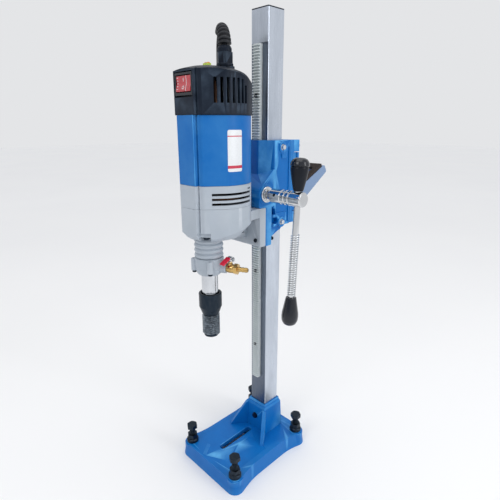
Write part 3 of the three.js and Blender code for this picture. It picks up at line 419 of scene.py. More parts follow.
class Coat(Enum):
    """Every finish on the rig."""

    ENAMEL = Finish(
        "blue_enamel", (0.001, 0.150, 0.50), (0.001, 0.132, 0.455), (0.30, 0.44), 1.1, 0.03, 30, 0.05,
        coat=0.06, edge_wear_and_highlight=(0.12, 0.45, 0.82)
    )
    MOTOR_BLUE = Finish(
        "blue_motor", (0.001, 0.125, 0.44), (0.001, 0.112, 0.41), (0.34, 0.42), 0.45, 0.012, 40, coat=0.04,
        edge_wear_and_highlight=(0.1, 0.40, 0.78), gloss=0.15
    )
    CAST_GREY = Finish(
        "grey_casting", (0.40, 0.45, 0.51), (0.37, 0.42, 0.475), (0.38, 0.50), 0.5, 0.02, 22, 0.02,
        edge_wear_and_highlight=(0.66, 0.70, 0.75), gloss=0.5
    )
    BLACK_MOULDING = Finish(
        "black_plastic", (0.004, 0.009, 0.020), (0.003, 0.007, 0.016), (0.36, 0.50), 0.35, 0.022, 14,
        edge_wear_and_highlight=(0.04, 0.06, 0.09), gloss=0.16
    )
    GLOSS_BLACK = Finish(
        "gloss_black", (0.006, 0.009, 0.016), (0.004, 0.006, 0.011), (0.08, 0.16), 2.5, 0.006, 20, coat=0.6
    )
    SATIN_GRIP = Finish(
        "gloss_black", (0.005, 0.008, 0.014), (0.004, 0.006, 0.011), (0.28, 0.38), 0.8, 0.01, 16, gloss=0.22
    )
    RUBBER = Finish(
        "black_rubber", (0.005, 0.006, 0.009), (0.008, 0.009, 0.012), (0.42, 0.56), 0.6, 0.03, 9,
        edge_wear_and_highlight=(0.06, 0.065, 0.075), gloss=0.25
    )
    PAD = Finish(
        "black_rubber", (0.030, 0.020, 0.017), (0.022, 0.016, 0.014), (0.5, 0.65), 0.8, 0.03, 10,
        edge_wear_and_highlight=(0.08, 0.06, 0.055)
    )
    NYLON = Finish("guide_nylon", (0.03, 0.03, 0.034), (0.024, 0.024, 0.028), (0.4, 0.5), 0.5, 0.01)
    HANDLE_COAT = Finish(
        "handle_coat", (0.20, 0.30, 0.48), (0.17, 0.26, 0.43), (0.34, 0.46), 0.7, 0.02, 12, 0.04,
        metallic=0.2, edge_wear_and_highlight=(0.45, 0.55, 0.7)
    )
    SLEEVE_RED = Finish(
        "lever_red", (0.72, 0.008, 0.045), (0.62, 0.006, 0.035), (0.25, 0.36), 0.8, 0.012, 8, coat=0.3
    )
    BLACK_OXIDE = Metal(
        "dark_steel", (0.022, 0.032, 0.046), (0.045, 0.055, 0.068), (0.28, 0.46), 0.5, (1, 1, 0.5), 0.012, 6
    )
    # The column's front face below the rack's top is darkened as painted shade, the shadow that the rack casts on
    # it.
    DRAWN_STEEL = Metal(
        "galvanised", (0.60, 0.65, 0.73), (0.40, 0.44, 0.50), (0.2, 0.4), 0.45, (1, 1, 0.012), 0.005, 26,
        (1, 1, 0.22), painted_shade=(-19.0, 801.0, 0.42)
    )
    RACK_STEEL = Finish(
        "zinc", (0.60, 0.66, 0.67), (0.44, 0.50, 0.51), (0.28, 0.42), 0.4, 0.012, 7, metallic=0.35,
        edge_wear_and_highlight=(0.9, 0.93, 0.93), gloss=0.5
    )
    ZINC = Metal("zinc", (0.70, 0.72, 0.74), (0.52, 0.54, 0.56), (0.2, 0.36), 0.5, (1, 1, 0.5), 0.006, 9)
    GROUND_STEEL = Metal(
        "zinc", (0.66, 0.68, 0.71), (0.5, 0.52, 0.55), (0.12, 0.24), 0.3, (0.05, 0.05, 1), 0.003, 14
    )
    CHROME = Metal(
        "chrome", (0.66, 0.67, 0.68), (0.52, 0.53, 0.54), (0.04, 0.11), 0.5, (0.05, 1, 1), 0.0015, 18
    )
    # Its light edge colour is a painted highlight: glints on the thread's crests.
    THREAD = Finish(
        "dark_steel", (0.006, 0.009, 0.014), (0.012, 0.016, 0.022), (0.14, 0.26), 0.6, 0.02, 5, metallic=0.5,
        edge_wear_and_highlight=(0.42, 0.48, 0.54), gloss=0.5
    )
    BRASS = Metal("brass", (0.66, 0.44, 0.16), (0.42, 0.26, 0.09), (0.16, 0.34), 0.4, (1, 1, 0.3), 0.006, 6)
    WINDING = Metal("winding", (0.10, 0.05, 0.03), (0.04, 0.03, 0.03), (0.3, 0.5), 0.6, (1, 1, 0.1), 0.03, 8)
    # The rocker and the vial carry a faint painted glow.
    LAMP_RED = Clear("switch_red", (0.50, 0.035, 0.05), 0.12)
    VIAL = Clear("vial_green", (0.55, 0.72, 0.06), 0.1)
    BUBBLE_FRAME = Finish("vial_green", (0.85, 0.10, 0.03), (0.75, 0.08, 0.02), (0.3, 0.4), 0.5, 0.01)
    STICKER = Printed("blue_motor", (0.80, 0.82, 0.84), (0.55, 0.02, 0.06), ((604.0, 608.5), (651.5, 653.0)))
    MARKS = Finish("switch_red", (0.75, 0.7, 0.7), (0.7, 0.66, 0.66), (0.3, 0.4), 0.6, 0.01)

    def material(self) -> bpy.types.Material:
        """Makes the finish's material when it is first asked for.

        Returns:
            The material.
        """
        name = f"coat_{self.name.lower()}"
        return bpy.data.materials.get(name) or self.value.build(name)


# ---- Outlines ----


def arc(centre: Point, radius: float, start: float, end: float, steps: int = 8) -> list[Point]:
    """Points along an arc.

    Args:
        centre: the arc's centre.
        radius: its radius.
        start: its first angle, in degrees.
        end: its last angle, in degrees.
        steps: how many pieces it has.

    Returns:
        The points, both ends included.
    """
    angles = [math.radians(start + (end - start) * i / steps) for i in range(steps + 1)]
    return [(centre[0] + radius * math.cos(a), centre[1] + radius * math.sin(a)) for a in angles]


def bow(start: Point, pull: Point, release: Point, end: Point, steps: int = 10) -> list[Point]:
    """Points along a cubic curve.

    Args:
        start: the first point.
        pull: the point that the curve leaves towards.
        release: the point that the curve arrives from.
        end: the last point.
        steps: how many pieces it has.

    Returns:
        The points, both ends included.
    """
    made = []
    for i in range(steps + 1):
        t = i / steps
        weights = ((1 - t) ** 3, 3 * t * (1 - t) ** 2, 3 * t * t * (1 - t), t**3)
        made.append(
            tuple(sum(w * p[k] for w, p in zip(weights, (start, pull, release, end))) for k in (0, 1))
        )
    return made


def soften(points: Sequence[Point], radius: float, closed: bool = False, steps: int = 4) -> list[Point]:
    """Rounds the corners of a line of points.

    Args:
        points: the corners.
        radius: how far from a corner its round starts.
        closed: whether the last point joins the first.
        steps: how many pieces a round has.

    Returns:
        The rounded line.
    """
    made: list[Point] = []
    count = len(points)
    for i, corner in enumerate(points):
        if not closed and i in (0, count - 1):
            made.append(corner)
            continue
        here = Vector(corner)
        before, after = Vector(points[i - 1]) - here, Vector(points[(i + 1) % count]) - here
        reach = min(radius, before.length * 0.48, after.length * 0.48)
        if before.length < 1e-6 or after.length < 1e-6 or before.angle(after) > math.radians(172):
            made.append(corner)
            continue
        start, end = here + before.normalized() * reach, here + after.normalized() * reach
        for k in range(steps + 1):
            t = k / steps
            point = start * (1 - t) ** 2 + here * 2 * t * (1 - t) + end * t * t
            made.append((point.x, point.y))
    return made


def mirrored(half: Sequence[Point]) -> list[Point]:
    """Completes an outline across the second axis.

    Args:
        half: the points of the positive side, in order.

    Returns:
        The closed outline.
    """
    return [*half, *[(-u, v) for u, v in reversed(half)]]


def polar(radius: float, degrees: float, centre: Point = (0, 0)) -> Point:
    """A point at an angle round a centre.

    Args:
        radius: its distance.
        degrees: its angle from the first axis.
        centre: the centre.

    Returns:
        The point.
    """
    return (
        centre[0] + radius * math.cos(math.radians(degrees)),
        centre[1] + radius * math.sin(math.radians(degrees))
    )


# ---- Solids ----


class Shape:
    """A closed mesh in millimetres that is built up before it becomes a piece."""

    def __init__(self) -> None:
        """Starts an empty shape."""
        self.bm = bmesh.new()

    def lay(self, axis: Axis, at: Point = (0, 0)) -> Shape:
        """Turns a shape drawn along Z onto an axis, beside the origin.

        Args:
            axis: the axis.
            at: where the shape's own axis stands on the two other axes.

        Returns:
            This shape.
        """
        turn = axis.turn()
        offset = turn @ Vector((*at, 0))
        bmesh.ops.transform(self.bm, matrix=Matrix.Translation(offset) @ turn.to_4x4(), verts=self.bm.verts)
        bmesh.ops.recalc_face_normals(self.bm, faces=self.bm.faces)
        return self

    @staticmethod
    def box(low: Place, high: Place) -> Shape:
        """A block.

        Args:
            low: its lowest corner.
            high: its highest corner.

        Returns:
            The block.
        """
        shape = Shape()
        bmesh.ops.create_cube(shape.bm, size=1.0)
        bmesh.ops.scale(shape.bm, vec=Vector(high) - Vector(low), verts=shape.bm.verts)
        bmesh.ops.translate(shape.bm, vec=(Vector(high) + Vector(low)) / 2, verts=shape.bm.verts)
        return shape

    @staticmethod
    def rod(
        radius: float, start: float, end: float, axis: Axis = Axis.Z, at: Point = (0, 0), sides: int = 48,
        tip: float | None = None
    ) -> Shape:
        """A round, or with six sides a hexagonal, bar.

        Args:
            radius: its radius over the corners.
            start: where it starts along the axis.
            end: where it ends.
            axis: its direction.
            at: its place on the two other axes.
            sides: how many sides it has.
            tip: the radius at its end, when it tapers.

        Returns:
            The bar.
        """
        shape = Shape()
        top = radius if tip is None else tip
        bmesh.ops.create_cone(
            shape.bm, cap_ends=True, segments=sides, radius1=radius, radius2=top, depth=end - start
        )
        bmesh.ops.translate(shape.bm, vec=(0, 0, (start + end) / 2), verts=shape.bm.verts)
        return shape.lay(axis, at)

    @staticmethod
    def turned(profile: Sequence[Point], axis: Axis = Axis.Z, at: Point = (0, 0), steps: int = 64) -> Shape:
        """A lathe shape.

        Args:
            profile: its [radius, height] points, which close on themselves unless they start on the axis.
            axis: its direction.
            at: its place on the two other axes.
            steps: how many pieces a full turn has.

        Returns:
            The shape.
        """
        shape = Shape()
        verts = [shape.bm.verts.new((r, 0, h)) for r, h in profile]
        pairs = list(zip(verts, verts[1:]))
        if profile[0][0] > 0:
            pairs.append((verts[-1], verts[0]))
        edges = [shape.bm.edges.new(pair) for pair in pairs]
        bmesh.ops.spin(
            shape.bm, geom=[*verts, *edges], axis=(0, 0, 1), angle=math.tau, steps=steps, use_merge=True
        )
        bmesh.ops.remove_doubles(shape.bm, verts=shape.bm.verts, dist=1e-4)
        return shape.lay(axis, at)

    @staticmethod
    def prism(outline: Sequence[Point], start: float, end: float, axis: Axis = Axis.Z) -> Shape:
        """An outline carried along an axis.

        Args:
            outline: its points on the two other axes.
            start: where it starts.
            end: where it ends.
            axis: its direction.

        Returns:
            The prism.
        """
        shape = Shape()
        face = shape.bm.faces.new([shape.bm.verts.new((u, v, start)) for u, v in outline])
        made = bmesh.ops.extrude_face_region(shape.bm, geom=[face])["geom"]
        lifted = [g for g in made if isinstance(g, bmesh.types.BMVert)]
        bmesh.ops.translate(shape.bm, vec=(0, 0, end - start), verts=lifted)
        bmesh.ops.holes_fill(shape.bm, edges=[e for e in shape.bm.edges if e.is_boundary])
        return shape.lay(axis)

    @staticmethod
    def loft(rings: Sequence[Sequence[Place]]) -> Shape:
        """A skin through rings of equally many points, closed at both ends.

        Args:
            rings: the rings, in order.

        Returns:
            The shape.
        """
        shape = Shape()
        loops = [[shape.bm.verts.new(place) for place in ring] for ring in rings]
        hoops = [[shape.bm.edges.new((a, b)) for a, b in zip(loop, [*loop[1:], loop[0]])] for loop in loops]
        for lower, upper in zip(hoops, hoops[1:]):
            bmesh.ops.bridge_loops(shape.bm, edges=[*lower, *upper])
        shape.bm.faces.new(loops[0])
        shape.bm.faces.new(loops[-1])
        return shape.lay(Axis.Z)

    @staticmethod
    def coil(
        section: Sequence[Point], pitch: float, turns: float, start: float, at: Point = (0, 0),
        steps: int = 24
    ) -> Shape:
        """A section carried round Z as it climbs, such as a thread or a spring.

        Args:
            section: the [radius, height] points of the section.
            pitch: the climb of a turn.
            turns: how many turns it has.
            start: the height of its first section.
            at: the axis's place.
            steps: how many pieces a turn has.

        Returns:
            The coil.
        """
        shape = Shape()
        verts = [shape.bm.verts.new((r, 0, start + h)) for r, h in section]
        edges = [shape.bm.edges.new(pair) for pair in zip(verts, [*verts[1:], verts[0]])]
        count = int(turns * steps)
        bmesh.ops.spin(
            shape.bm,
            geom=[*verts, *edges],
            axis=(0, 0, 1),
            dvec=(0, 0, pitch / steps),
            angle=math.tau * count / steps,
            steps=count,
        )
        bmesh.ops.holes_fill(shape.bm, edges=[e for e in shape.bm.edges if e.is_boundary])
        return shape.lay(Axis.Z, at)

    @staticmethod
    def hexagon(
        flats: float, start: float, end: float, axis: Axis = Axis.Z, at: Point = (0, 0), chamfer: float = 0.12
    ) -> Shape:
        """A hexagonal head whose outer corners are turned off.

        Args:
            flats: its width across the flats.
            start: where its seat is.
            end: where its outer face is.
            axis: its direction.
            at: its place on the two other axes.
            chamfer: the height of the turned corners, as a share of the width.

        Returns:
            The head.
        """
        corner, tall, rim = flats / math.sqrt(3), abs(end - start), flats / 2 * 0.97
        head = Shape.rod(corner, 0, tall, sides=6)
        head.keep(
            Shape.turned(
                [
                    (0, -1), (corner + 1, -1), (corner + 1, tall - chamfer * flats * 0.62),
                    (rim, tall + 0.01), (0, tall + 0.01)
                ],
                steps=48
            )
        )
        if end < start:
            head.rotated(180, "X")
        return head.moved((0, 0, start)).lay(axis, at)

    def moved(self, by: Place) -> Shape:
        """Shifts the shape and returns it."""
        bmesh.ops.translate(self.bm, vec=by, verts=self.bm.verts)
        return self

    def rotated(self, degrees: float, axis: str = "Z", about: Place = (0, 0, 0)) -> Shape:
        """Turns the shape.

        Args:
            degrees: the angle.
            axis: the name of the axis that it turns about.
            about: a point on that axis.

        Returns:
            This shape.
        """
        turn = Matrix.Rotation(math.radians(degrees), 3, axis)
        bmesh.ops.rotate(self.bm, cent=about, matrix=turn, verts=self.bm.verts)
        return self

    def _combined(self, other: Shape, operation: str) -> Shape:
        """Runs a Boolean between this shape and another.

        Args:
            other: the other shape, which is used up.
            operation: UNION, DIFFERENCE or INTERSECT.

        Returns:
            This shape.
        """
        holders = []
        for shape in (self, other):
            mesh = bpy.data.meshes.new("blank")
            shape.bm.to_mesh(mesh)
            shape.bm.free()
            holders.append(bpy.data.objects.new("blank", mesh))
            bpy.context.scene.collection.objects.link(holders[-1])
        tool = holders[0].modifiers.new("tool", "BOOLEAN")
        tool.operation, tool.object, tool.solver = operation, holders[1], "EXACT"
        graph = bpy.context.evaluated_depsgraph_get()
        result = bpy.data.meshes.new_from_object(holders[0].evaluated_get(graph))
        self.bm = bmesh.new()
        self.bm.from_mesh(result)
        for mesh in [holder.data for holder in holders]:
            bpy.data.meshes.remove(mesh)
        bpy.data.meshes.remove(result)
        return self

    def cut(self, *tools: Shape) -> Shape:
        """Cuts the tools away from this shape and returns it."""
        for tool in tools:
            self._combined(tool, "DIFFERENCE")
        return self

    def join(self, *others: Shape) -> Shape:
        """Joins the others to this shape and returns it."""
        for other in others:
            self._combined(other, "UNION")
        return self

    def keep(self, other: Shape) -> Shape:
        """Keeps what this shape shares with another and returns it."""
        return self._combined(other, "INTERSECT")

    def beside(self, *others: Shape) -> Shape:
        """Takes other shapes in as loose parts of the same piece and returns this shape."""
        for other in others:
            mesh = bpy.data.meshes.new("blank")
            other.bm.to_mesh(mesh)
            other.bm.free()
            self.bm.from_mesh(mesh)
            bpy.data.meshes.remove(mesh)
        return self

    def tidy(self, near: float = 0.02) -> Shape:
        """Merges points that lie together and closes the seams that a cut leaves open.

        Args:
            near: how close two points are to be one, in millimetres.

        Returns:
            The same shape.
        """
        bmesh.ops.remove_doubles(self.bm, verts=self.bm.verts, dist=near)
        bmesh.ops.dissolve_degenerate(self.bm, dist=near, edges=self.bm.edges)
        loose = [f for f in self.bm.faces if all(e.is_boundary or len(e.link_faces) > 2 for e in f.edges)]
        bmesh.ops.delete(self.bm, geom=loose, context="FACES")
        bmesh.ops.holes_fill(self.bm, edges=[e for e in self.bm.edges if e.is_boundary], sides=0)
        bmesh.ops.dissolve_limit(
            self.bm, angle_limit=math.radians(0.4), verts=self.bm.verts, edges=self.bm.edges
        )
        bmesh.ops.recalc_face_normals(self.bm, faces=self.bm.faces)
        return self

    def bevel(
        self, width: float, segments: int = 3, over: float = 30.0, below: float = 1e9, above: float = -1e9
    ) -> Shape:
        """Rounds the sharp edges.

        Args:
            width: how far from the edge the round starts.
            segments: how many pieces the round has.
            over: the least angle, in degrees, of an edge that is sharp.
            below: the greatest height of an edge that is rounded.
            above: the least height of an edge that is rounded.

        Returns:
            This shape.
        """
        self.tidy()
        sharp = [
            e
            for e in self.bm.edges
            if e.is_manifold and e.calc_face_angle(0) > math.radians(over) and all(
                above <= v.co.z <= below for v in e.verts
            )
        ]
        bmesh.ops.bevel(
            self.bm, geom=sharp, offset=width, offset_type="OFFSET", affect="EDGES", segments=segments,
            profile=0.5, material=-1, clamp_overlap=False
        )
        return self


@dataclass
class Maker:
    """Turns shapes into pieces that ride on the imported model's bodies."""

    body: str
    made: list[bpy.types.Object] = field(default_factory=list)

    def piece(
        self, name: str, shape: Shape, coat: Coat, stands_for: Sequence[str] = (), body: str | None = None,
        smooth: float = 34.0, edge: float = 0.0
    ) -> bpy.types.Object:
        """Makes a piece of a shape.

        Args:
            name: the piece's name.
            shape: the shape, which is used up.
            coat: its finish.
            stands_for: the model's solids that it takes the place of.
            body: the body that it rides on, when it isn't the maker's own.
            smooth: the angle, in degrees, above which an edge stays sharp.
            edge: the width of the round along its sharp edges, in millimetres.

        Returns:
            The piece.
        """
        if edge:
            shape.tidy()
        bmesh.ops.scale(shape.bm, vec=(MM, MM, MM), verts=shape.bm.verts)
        mesh = bpy.data.meshes.new(name)
        shape.bm.to_mesh(mesh)
        shape.bm.free()
        mesh.polygons.foreach_set("use_smooth", [True] * len(mesh.polygons))
        mesh.set_sharp_from_angle(angle=math.radians(smooth))
        piece = bpy.data.objects.new(name, mesh)
        bpy.context.scene.collection.objects.link(piece)
        mesh.materials.append(coat.material())
        if edge:
            rounded = piece.modifiers.new("rounded", "BEVEL")
            rounded.width, rounded.segments, rounded.profile = edge * MM, 3, 0.5
            rounded.limit_method, rounded.angle_limit = "ANGLE", math.radians(30)
            rounded.use_clamp_overlap, rounded.miter_outer = True, "MITER_ARC"
        shading = piece.modifiers.new("shading", "WEIGHTED_NORMAL")
        shading.keep_sharp = not edge
        self.ride(piece, coat, stands_for, body)
        return piece

    def ride(
        self, piece: bpy.types.Object, coat: Coat, stands_for: Sequence[str] = (), body: str | None = None
    ) -> None:
        """Sets a finished object on its body and reports it.

        Args:
            piece: the object.
            coat: its finish.
            stands_for: the model's solids that it takes the place of.
            body: the body that it rides on, when it isn't the maker's own.
        """
        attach(piece, body or self.body)
        if stands_for:
            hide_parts(*stands_for)
        self.made.append(piece)
        faces = len(piece.data.polygons) if piece.type == "MESH" else 0
        LOG.info("%s: %s on %s, %d faces", piece.name, coat.name.lower(), body or self.body, faces)

    def socket_screw(
        self, name: str, at: Place, axis: Axis, out: int, radius: float, height: float, coat: Coat,
        stands_for: Sequence[str] = (), shank: float = 4.0
    ) -> bpy.types.Object:
        """A cap screw with a hexagonal socket.

        Args:
            name: the piece's name.
            at: the centre of the seat under its head.
            axis: its direction.
            out: 1 or -1, the way its head points along the axis.
            radius: the head's radius.
            height: the head's height.
            coat: its finish.
            stands_for: the model's solids that it takes the place of.
            shank: how far it reaches behind its seat.

        Returns:
            The piece.
        """
        rim, stem = min(0.5, height * 0.2), radius * 0.55
        profile = [
            (0, -shank), (stem, -shank), (stem, 0), (radius, 0), (radius, height - rim),
            (radius - rim, height), (0, height)
        ]
        head = Shape.turned(profile, steps=40).cut(
            Shape.rod(radius * 0.56, height * 0.4, height + 1, sides=6)
        )
        if out < 0:
            head.rotated(180, "X")
        return self.piece(name, head.lay(axis).moved(at), coat, stands_for)


# ---- Stand ----


@dataclass
class Stand:
    """The cast base, the square column with its rack, and the screws that belong to them."""

    height: float = 29.0
    foot: float = 4.0
    bolt_x: float = 66.0
    front_y: float = -149.3
    rear_y: float = 30.0
    lug: float = 14.0
    waist: float = 71.0
    column: float = 20.0
    column_top: float = 853.0
    rim: float = 95.0
    pitch: float = 1.5 * math.pi
    mesh_height: float = 552.0
    teeth: tuple[int, int] = (-83, 52)
    heads: tuple[tuple[str, float, float, float], ...] = (
        ("fl", -1, -1, 69.0),
        ("fr", 1, -1, 74.5),
        ("rl", -1, 1, 69.5),
        ("rr", 1, 1, 69.5),
    )

    def outline(self, grow: float = 0.0) -> list[Point]:
        """The base's outline: round lugs, a straight front and gently waisted sides.

        Args:
            grow: how much larger it is all round.

        Returns:
            The closed outline.
        """
        lug, waist, x, front, rear = self.lug + grow, self.waist + grow, self.bolt_x, self.front_y, self.rear_y
        turn = math.radians(20)
        near = (x + lug * math.cos(turn), front + lug * math.sin(turn))
        far = (x + lug * math.cos(turn), rear - lug * math.sin(turn))
        half = [
            *arc((x, front), lug, -90, 20, 10)[:-1],
            *bow(near, (waist + 4, front + 22), (waist, front + 34), (waist, front + 62))[:-1],
            *bow((waist, rear - 52), (waist, rear - 30), (waist + 4, rear - 18), far),
            *arc((x, rear), lug, -20, 90, 10)[1:],
        ]
        return mirrored(half)

    def corner(self, side: float, end: float) -> Point:
        """The place of a levelling screw.

        Args:
            side: -1 on the left, 1 on the right.
            end: -1 at the front, 1 at the rear.

        Returns:
            The screw's axis.
        """
        return (side * self.bolt_x, self.front_y if end < 0 else self.rear_y)

    def socket(self) -> Shape:
        """The column's tapered socket with its stepped lip."""
        levels = [
            (self.height - 3, 31.2, -28.2, 23),
            (86, 27.5, -27.5, 23),
            (89, 24.8, -25.2, 22.7),
            (89.6, 23.2, -23.2, 22.5),
            (self.rim - 0.6, 22.6, -22.6, 22.2),
            (self.rim, 22.1, -22.1, 21.8),
        ]
        return Shape.loft([[(-w, f, z), (w, f, z), (w, b, z), (-w, b, z)] for z, w, f, b in levels])

    def rib(self, side: int) -> Shape:
        """The sloping rib that braces a front corner of the socket.

        Args:
            side: -1 on the left, 1 on the right.

        Returns:
            The rib.
        """
        outline = soften([(9, 26), (9, 84.5), (-3, 84.5), (-37, 33), (-42, 26)], 3.5, steps=3)
        rib = Shape.prism(outline, -3.4, 3.4, Axis.X)
        return rib.rotated(side * 35.5).moved((side * 25, -26, 0))

    def build(self) -> None:
        """Builds the stand."""
        maker = Maker("stand")
        self.build_base(maker)
        self.build_column(maker)
        self.build_rack(maker)
        for name, side, end, top in self.heads:
            self.build_levelling(maker, name, self.corner(side, end), top)

    def build_base(self, maker: Maker) -> None:
        """Builds the cast base with its hollow underside, its slot and its socket."""
        lower = [(x, y, 0.0) for x, y in self.outline(self.foot)]
        upper = [(x, y, self.height) for x, y in self.outline()]
        body = Shape.loft([lower, upper])
        pocket = [
            (62, -127.3), (44, -145.3), (-44, -145.3), (-62, -127.3), (-62, 16), (-44, 34), (44, 34), (62, 16)
        ]
        body.cut(Shape.prism(soften(pocket, 6, True), -1, 19))
        body.join(Shape.box((-37, -36, 0), (37, 32, self.height - 1)))
        body.join(
            *[Shape.rod(16, 0.5, self.height - 2, Axis.Z, self.corner(s, e), 32) for _, s, e, _ in self.heads]
        )
        deck = [(-4, -157), (-20, -132), (-28, -134), (-12, -159)]
        body.join(
            Shape.prism(soften([(u - 8, v) for u, v in deck], 2, True), self.height - 1, self.height + 0.5)
        )
        step = soften([(12, -96), (12, -54), (60, -54), (60, -136), (30, -136)], 8, True)
        body.cut(Shape.prism(step, self.height - 0.45, self.height + 2))
        body.join(self.socket(), self.rib(1), self.rib(-1))
        slot = [*arc((-7, -42), 6, 0, 180, 14), *arc((-7, -116), 6, 180, 360, 14)]
        lip = [*arc((-7, -42), 7.2, 0, 180, 14), *arc((-7, -116), 7.2, 180, 360, 14)]
        mouth = Shape.loft(
            [[(x, y, self.height - 1.2) for x, y in slot], [(x, y, self.height + 0.6) for x, y in lip]]
        )
        body.cut(Shape.prism(slot, -2, self.height + 3), mouth)
        body.cut(Shape.box((-20.3, -20.3, 9.7), (20.3, 20.3, self.rim + 2)))
        body.cut(Shape.rod(3.5, -33, -18, Axis.Y, (0, 61), 24))
        body.cut(
            *[Shape.rod(6.4, -1, self.height + 2, Axis.Z, self.corner(s, e), 32) for _, s, e, _ in self.heads]
        )
        maker.piece("cast_base", body, Coat.ENAMEL, ["base_plate"], edge=1.6)

    def build_column(self, maker: Maker) -> None:
        """Builds the square tube, its cap and the socket's clamp screw."""
        half = self.column

        def square(reach: float, corner: float) -> list[Point]:
            """A square outline with round corners."""
            return soften(
                [(reach, -reach), (reach, reach), (-reach, reach), (-reach, -reach)], corner, True, 6
            )

        tube = Shape.prism(square(half, 2.6), 10, self.column_top)
        tube.cut(Shape.prism(square(half - 3, 1.2), 5, self.column_top + 5)).bevel(0.3, 2, 40)
        maker.piece("square_column", tube, Coat.DRAWN_STEEL, ["column_tube"])
        cap = Shape.prism(square(half, 2.8), self.column_top + 0.3, self.column_top + 2).bevel(0.7, 3, 40)
        cap.join(Shape.prism(square(half - 3.4, 1.2), self.column_top - 14, self.column_top + 1))
        maker.piece("column_cap", cap, Coat.BLACK_MOULDING, ["column_top_plug"])
        screw = Shape.hexagon(10, -28.2, -32.2, Axis.Y, (0, 61)).join(
            Shape.rod(6.2, -28.8, -28.1, Axis.Y, (0, 61), 32)
        )
        screw.join(Shape.rod(3, -28.5, -12, Axis.Y, (0, 61), 20))
        maker.piece("socket_clamp_screw", screw, Coat.BLACK_OXIDE, ["column_bolt"])

    def build_rack(self, maker: Maker) -> None:
        """Builds the toothed rack as one tooth that repeats, and its fixing screws."""
        root, tip, half = -26.62, -30.0, self.pitch / 2
        profile = [
            (-20.3, -half), (root, -half), (root, -1.7), (tip + 0.3, -0.72), (tip, -0.45), (tip, 0.45),
            (tip + 0.3, 0.72), (root, 1.7), (root, half), (-20.3, half)
        ]
        first = self.mesh_height + self.teeth[0] * self.pitch
        tooth = Shape.prism([(y, first + z) for y, z in profile], -7.5, 7.5, Axis.X)
        walls = [
            f
            for f in tooth.bm.faces if abs(f.normal.z) > 0.99 and abs(
                abs(f.calc_center_median().z - first) - half
            ) < 1e-3
        ]
        bmesh.ops.delete(tooth.bm, geom=walls, context="FACES_ONLY")
        rack = maker.piece("toothed_rack", tooth, Coat.RACK_STEEL, ["gear_rack"], smooth=20)
        rack.modifiers.clear()
        repeat = rack.modifiers.new("repeat", "ARRAY")
        repeat.count = self.teeth[1] - self.teeth[0] + 1
        repeat.use_relative_offset = False
        repeat.use_constant_offset = True
        repeat.constant_offset_displace = (0, 0, self.pitch * MM)
        repeat.use_merge_vertices = True
        repeat.merge_threshold = 1e-5
        for end, side in ((self.teeth[0] - 0.5, -1), (self.teeth[1] + 0.5, 1)):
            z = self.mesh_height + end * self.pitch
            plate = Shape.box((-7.5, root, z - 0.15), (7.5, -20.3, z + 0.15)).moved((0, 0, -0.15 * side))
            maker.piece(f"rack_end_{'lower' if side < 0 else 'upper'}", plate, Coat.RACK_STEEL)
        for k, z in enumerate((235, 397, 558, 718)):
            seat = self.mesh_height + round((z - self.mesh_height) / self.pitch) * self.pitch
            ring = Shape.turned(
                [(0, -30.15), (2.2, -30.15), (1.6, -30.2), (2.6, -30.2), (3.1, -29.8), (3.1, -25), (0, -25)],
                Axis.Y, (0, seat), 32
            )
            ring.cut(Shape.rod(1.7, -31, -27.5, Axis.Y, (0, seat), 6))
            maker.piece(f"rack_screw_{k + 1}", ring, Coat.BLACK_OXIDE)

    def build_levelling(self, maker: Maker, name: str, at: Point, top: float) -> None:
        """Builds a levelling screw with its thread and its lock nut.

        Args:
            maker: the stand's maker.
            name: the corner's short name.
            at: the screw's axis.
            top: the height of the head's top.
        """
        stem = [(0, 0), (4.6, 0), (5.3, 1.2), (5.3, top - 9), (5.9, top - 8.4), (0, top - 8.4)]
        screw = Shape.turned(stem, Axis.Z, at, 32).join(Shape.hexagon(19, top - 8, top, at=at))
        disc = Shape.turned(
            [(0, top - 8.5), (9.4, top - 8.5), (9.4, top - 7.9), (0, top - 7.9)], Axis.Z, at, 40
        )
        thread = Shape.coil(
            [(5.0, 0), (5.95, 0.62), (5.95, 0.9), (5.0, 1.52)], 1.75, (top - 40) / 1.75, 30, at, 20
        )
        maker.piece(
            f"levelling_screw_{name}_threaded", screw.join(disc).beside(thread), Coat.BLACK_OXIDE,
            [f"levelling_screw_{name}"], f"level_{name}"
        )
        base = self.height + 0.3
        collar = soften(
            [(6.3, base), (12.2, base), (12.2, base + 5.4), (10.4, base + 7.7), (6.3, base + 7.7)], 0.8,
            steps=3
        )
        nut = Shape.turned(collar, Axis.Z, at, 48).join(
            Shape.hexagon(
                18.4, base + 7, base + 17.7, at=at, chamfer=0.1
            ).cut(Shape.rod(6.3, base, base + 20, Axis.Z, at, 32))
        )
        maker.piece(f"lock_nut_{name}_turned", nut, Coat.BLACK_OXIDE, [f"lock_nut_{name}"])


# ---- Carriage ----


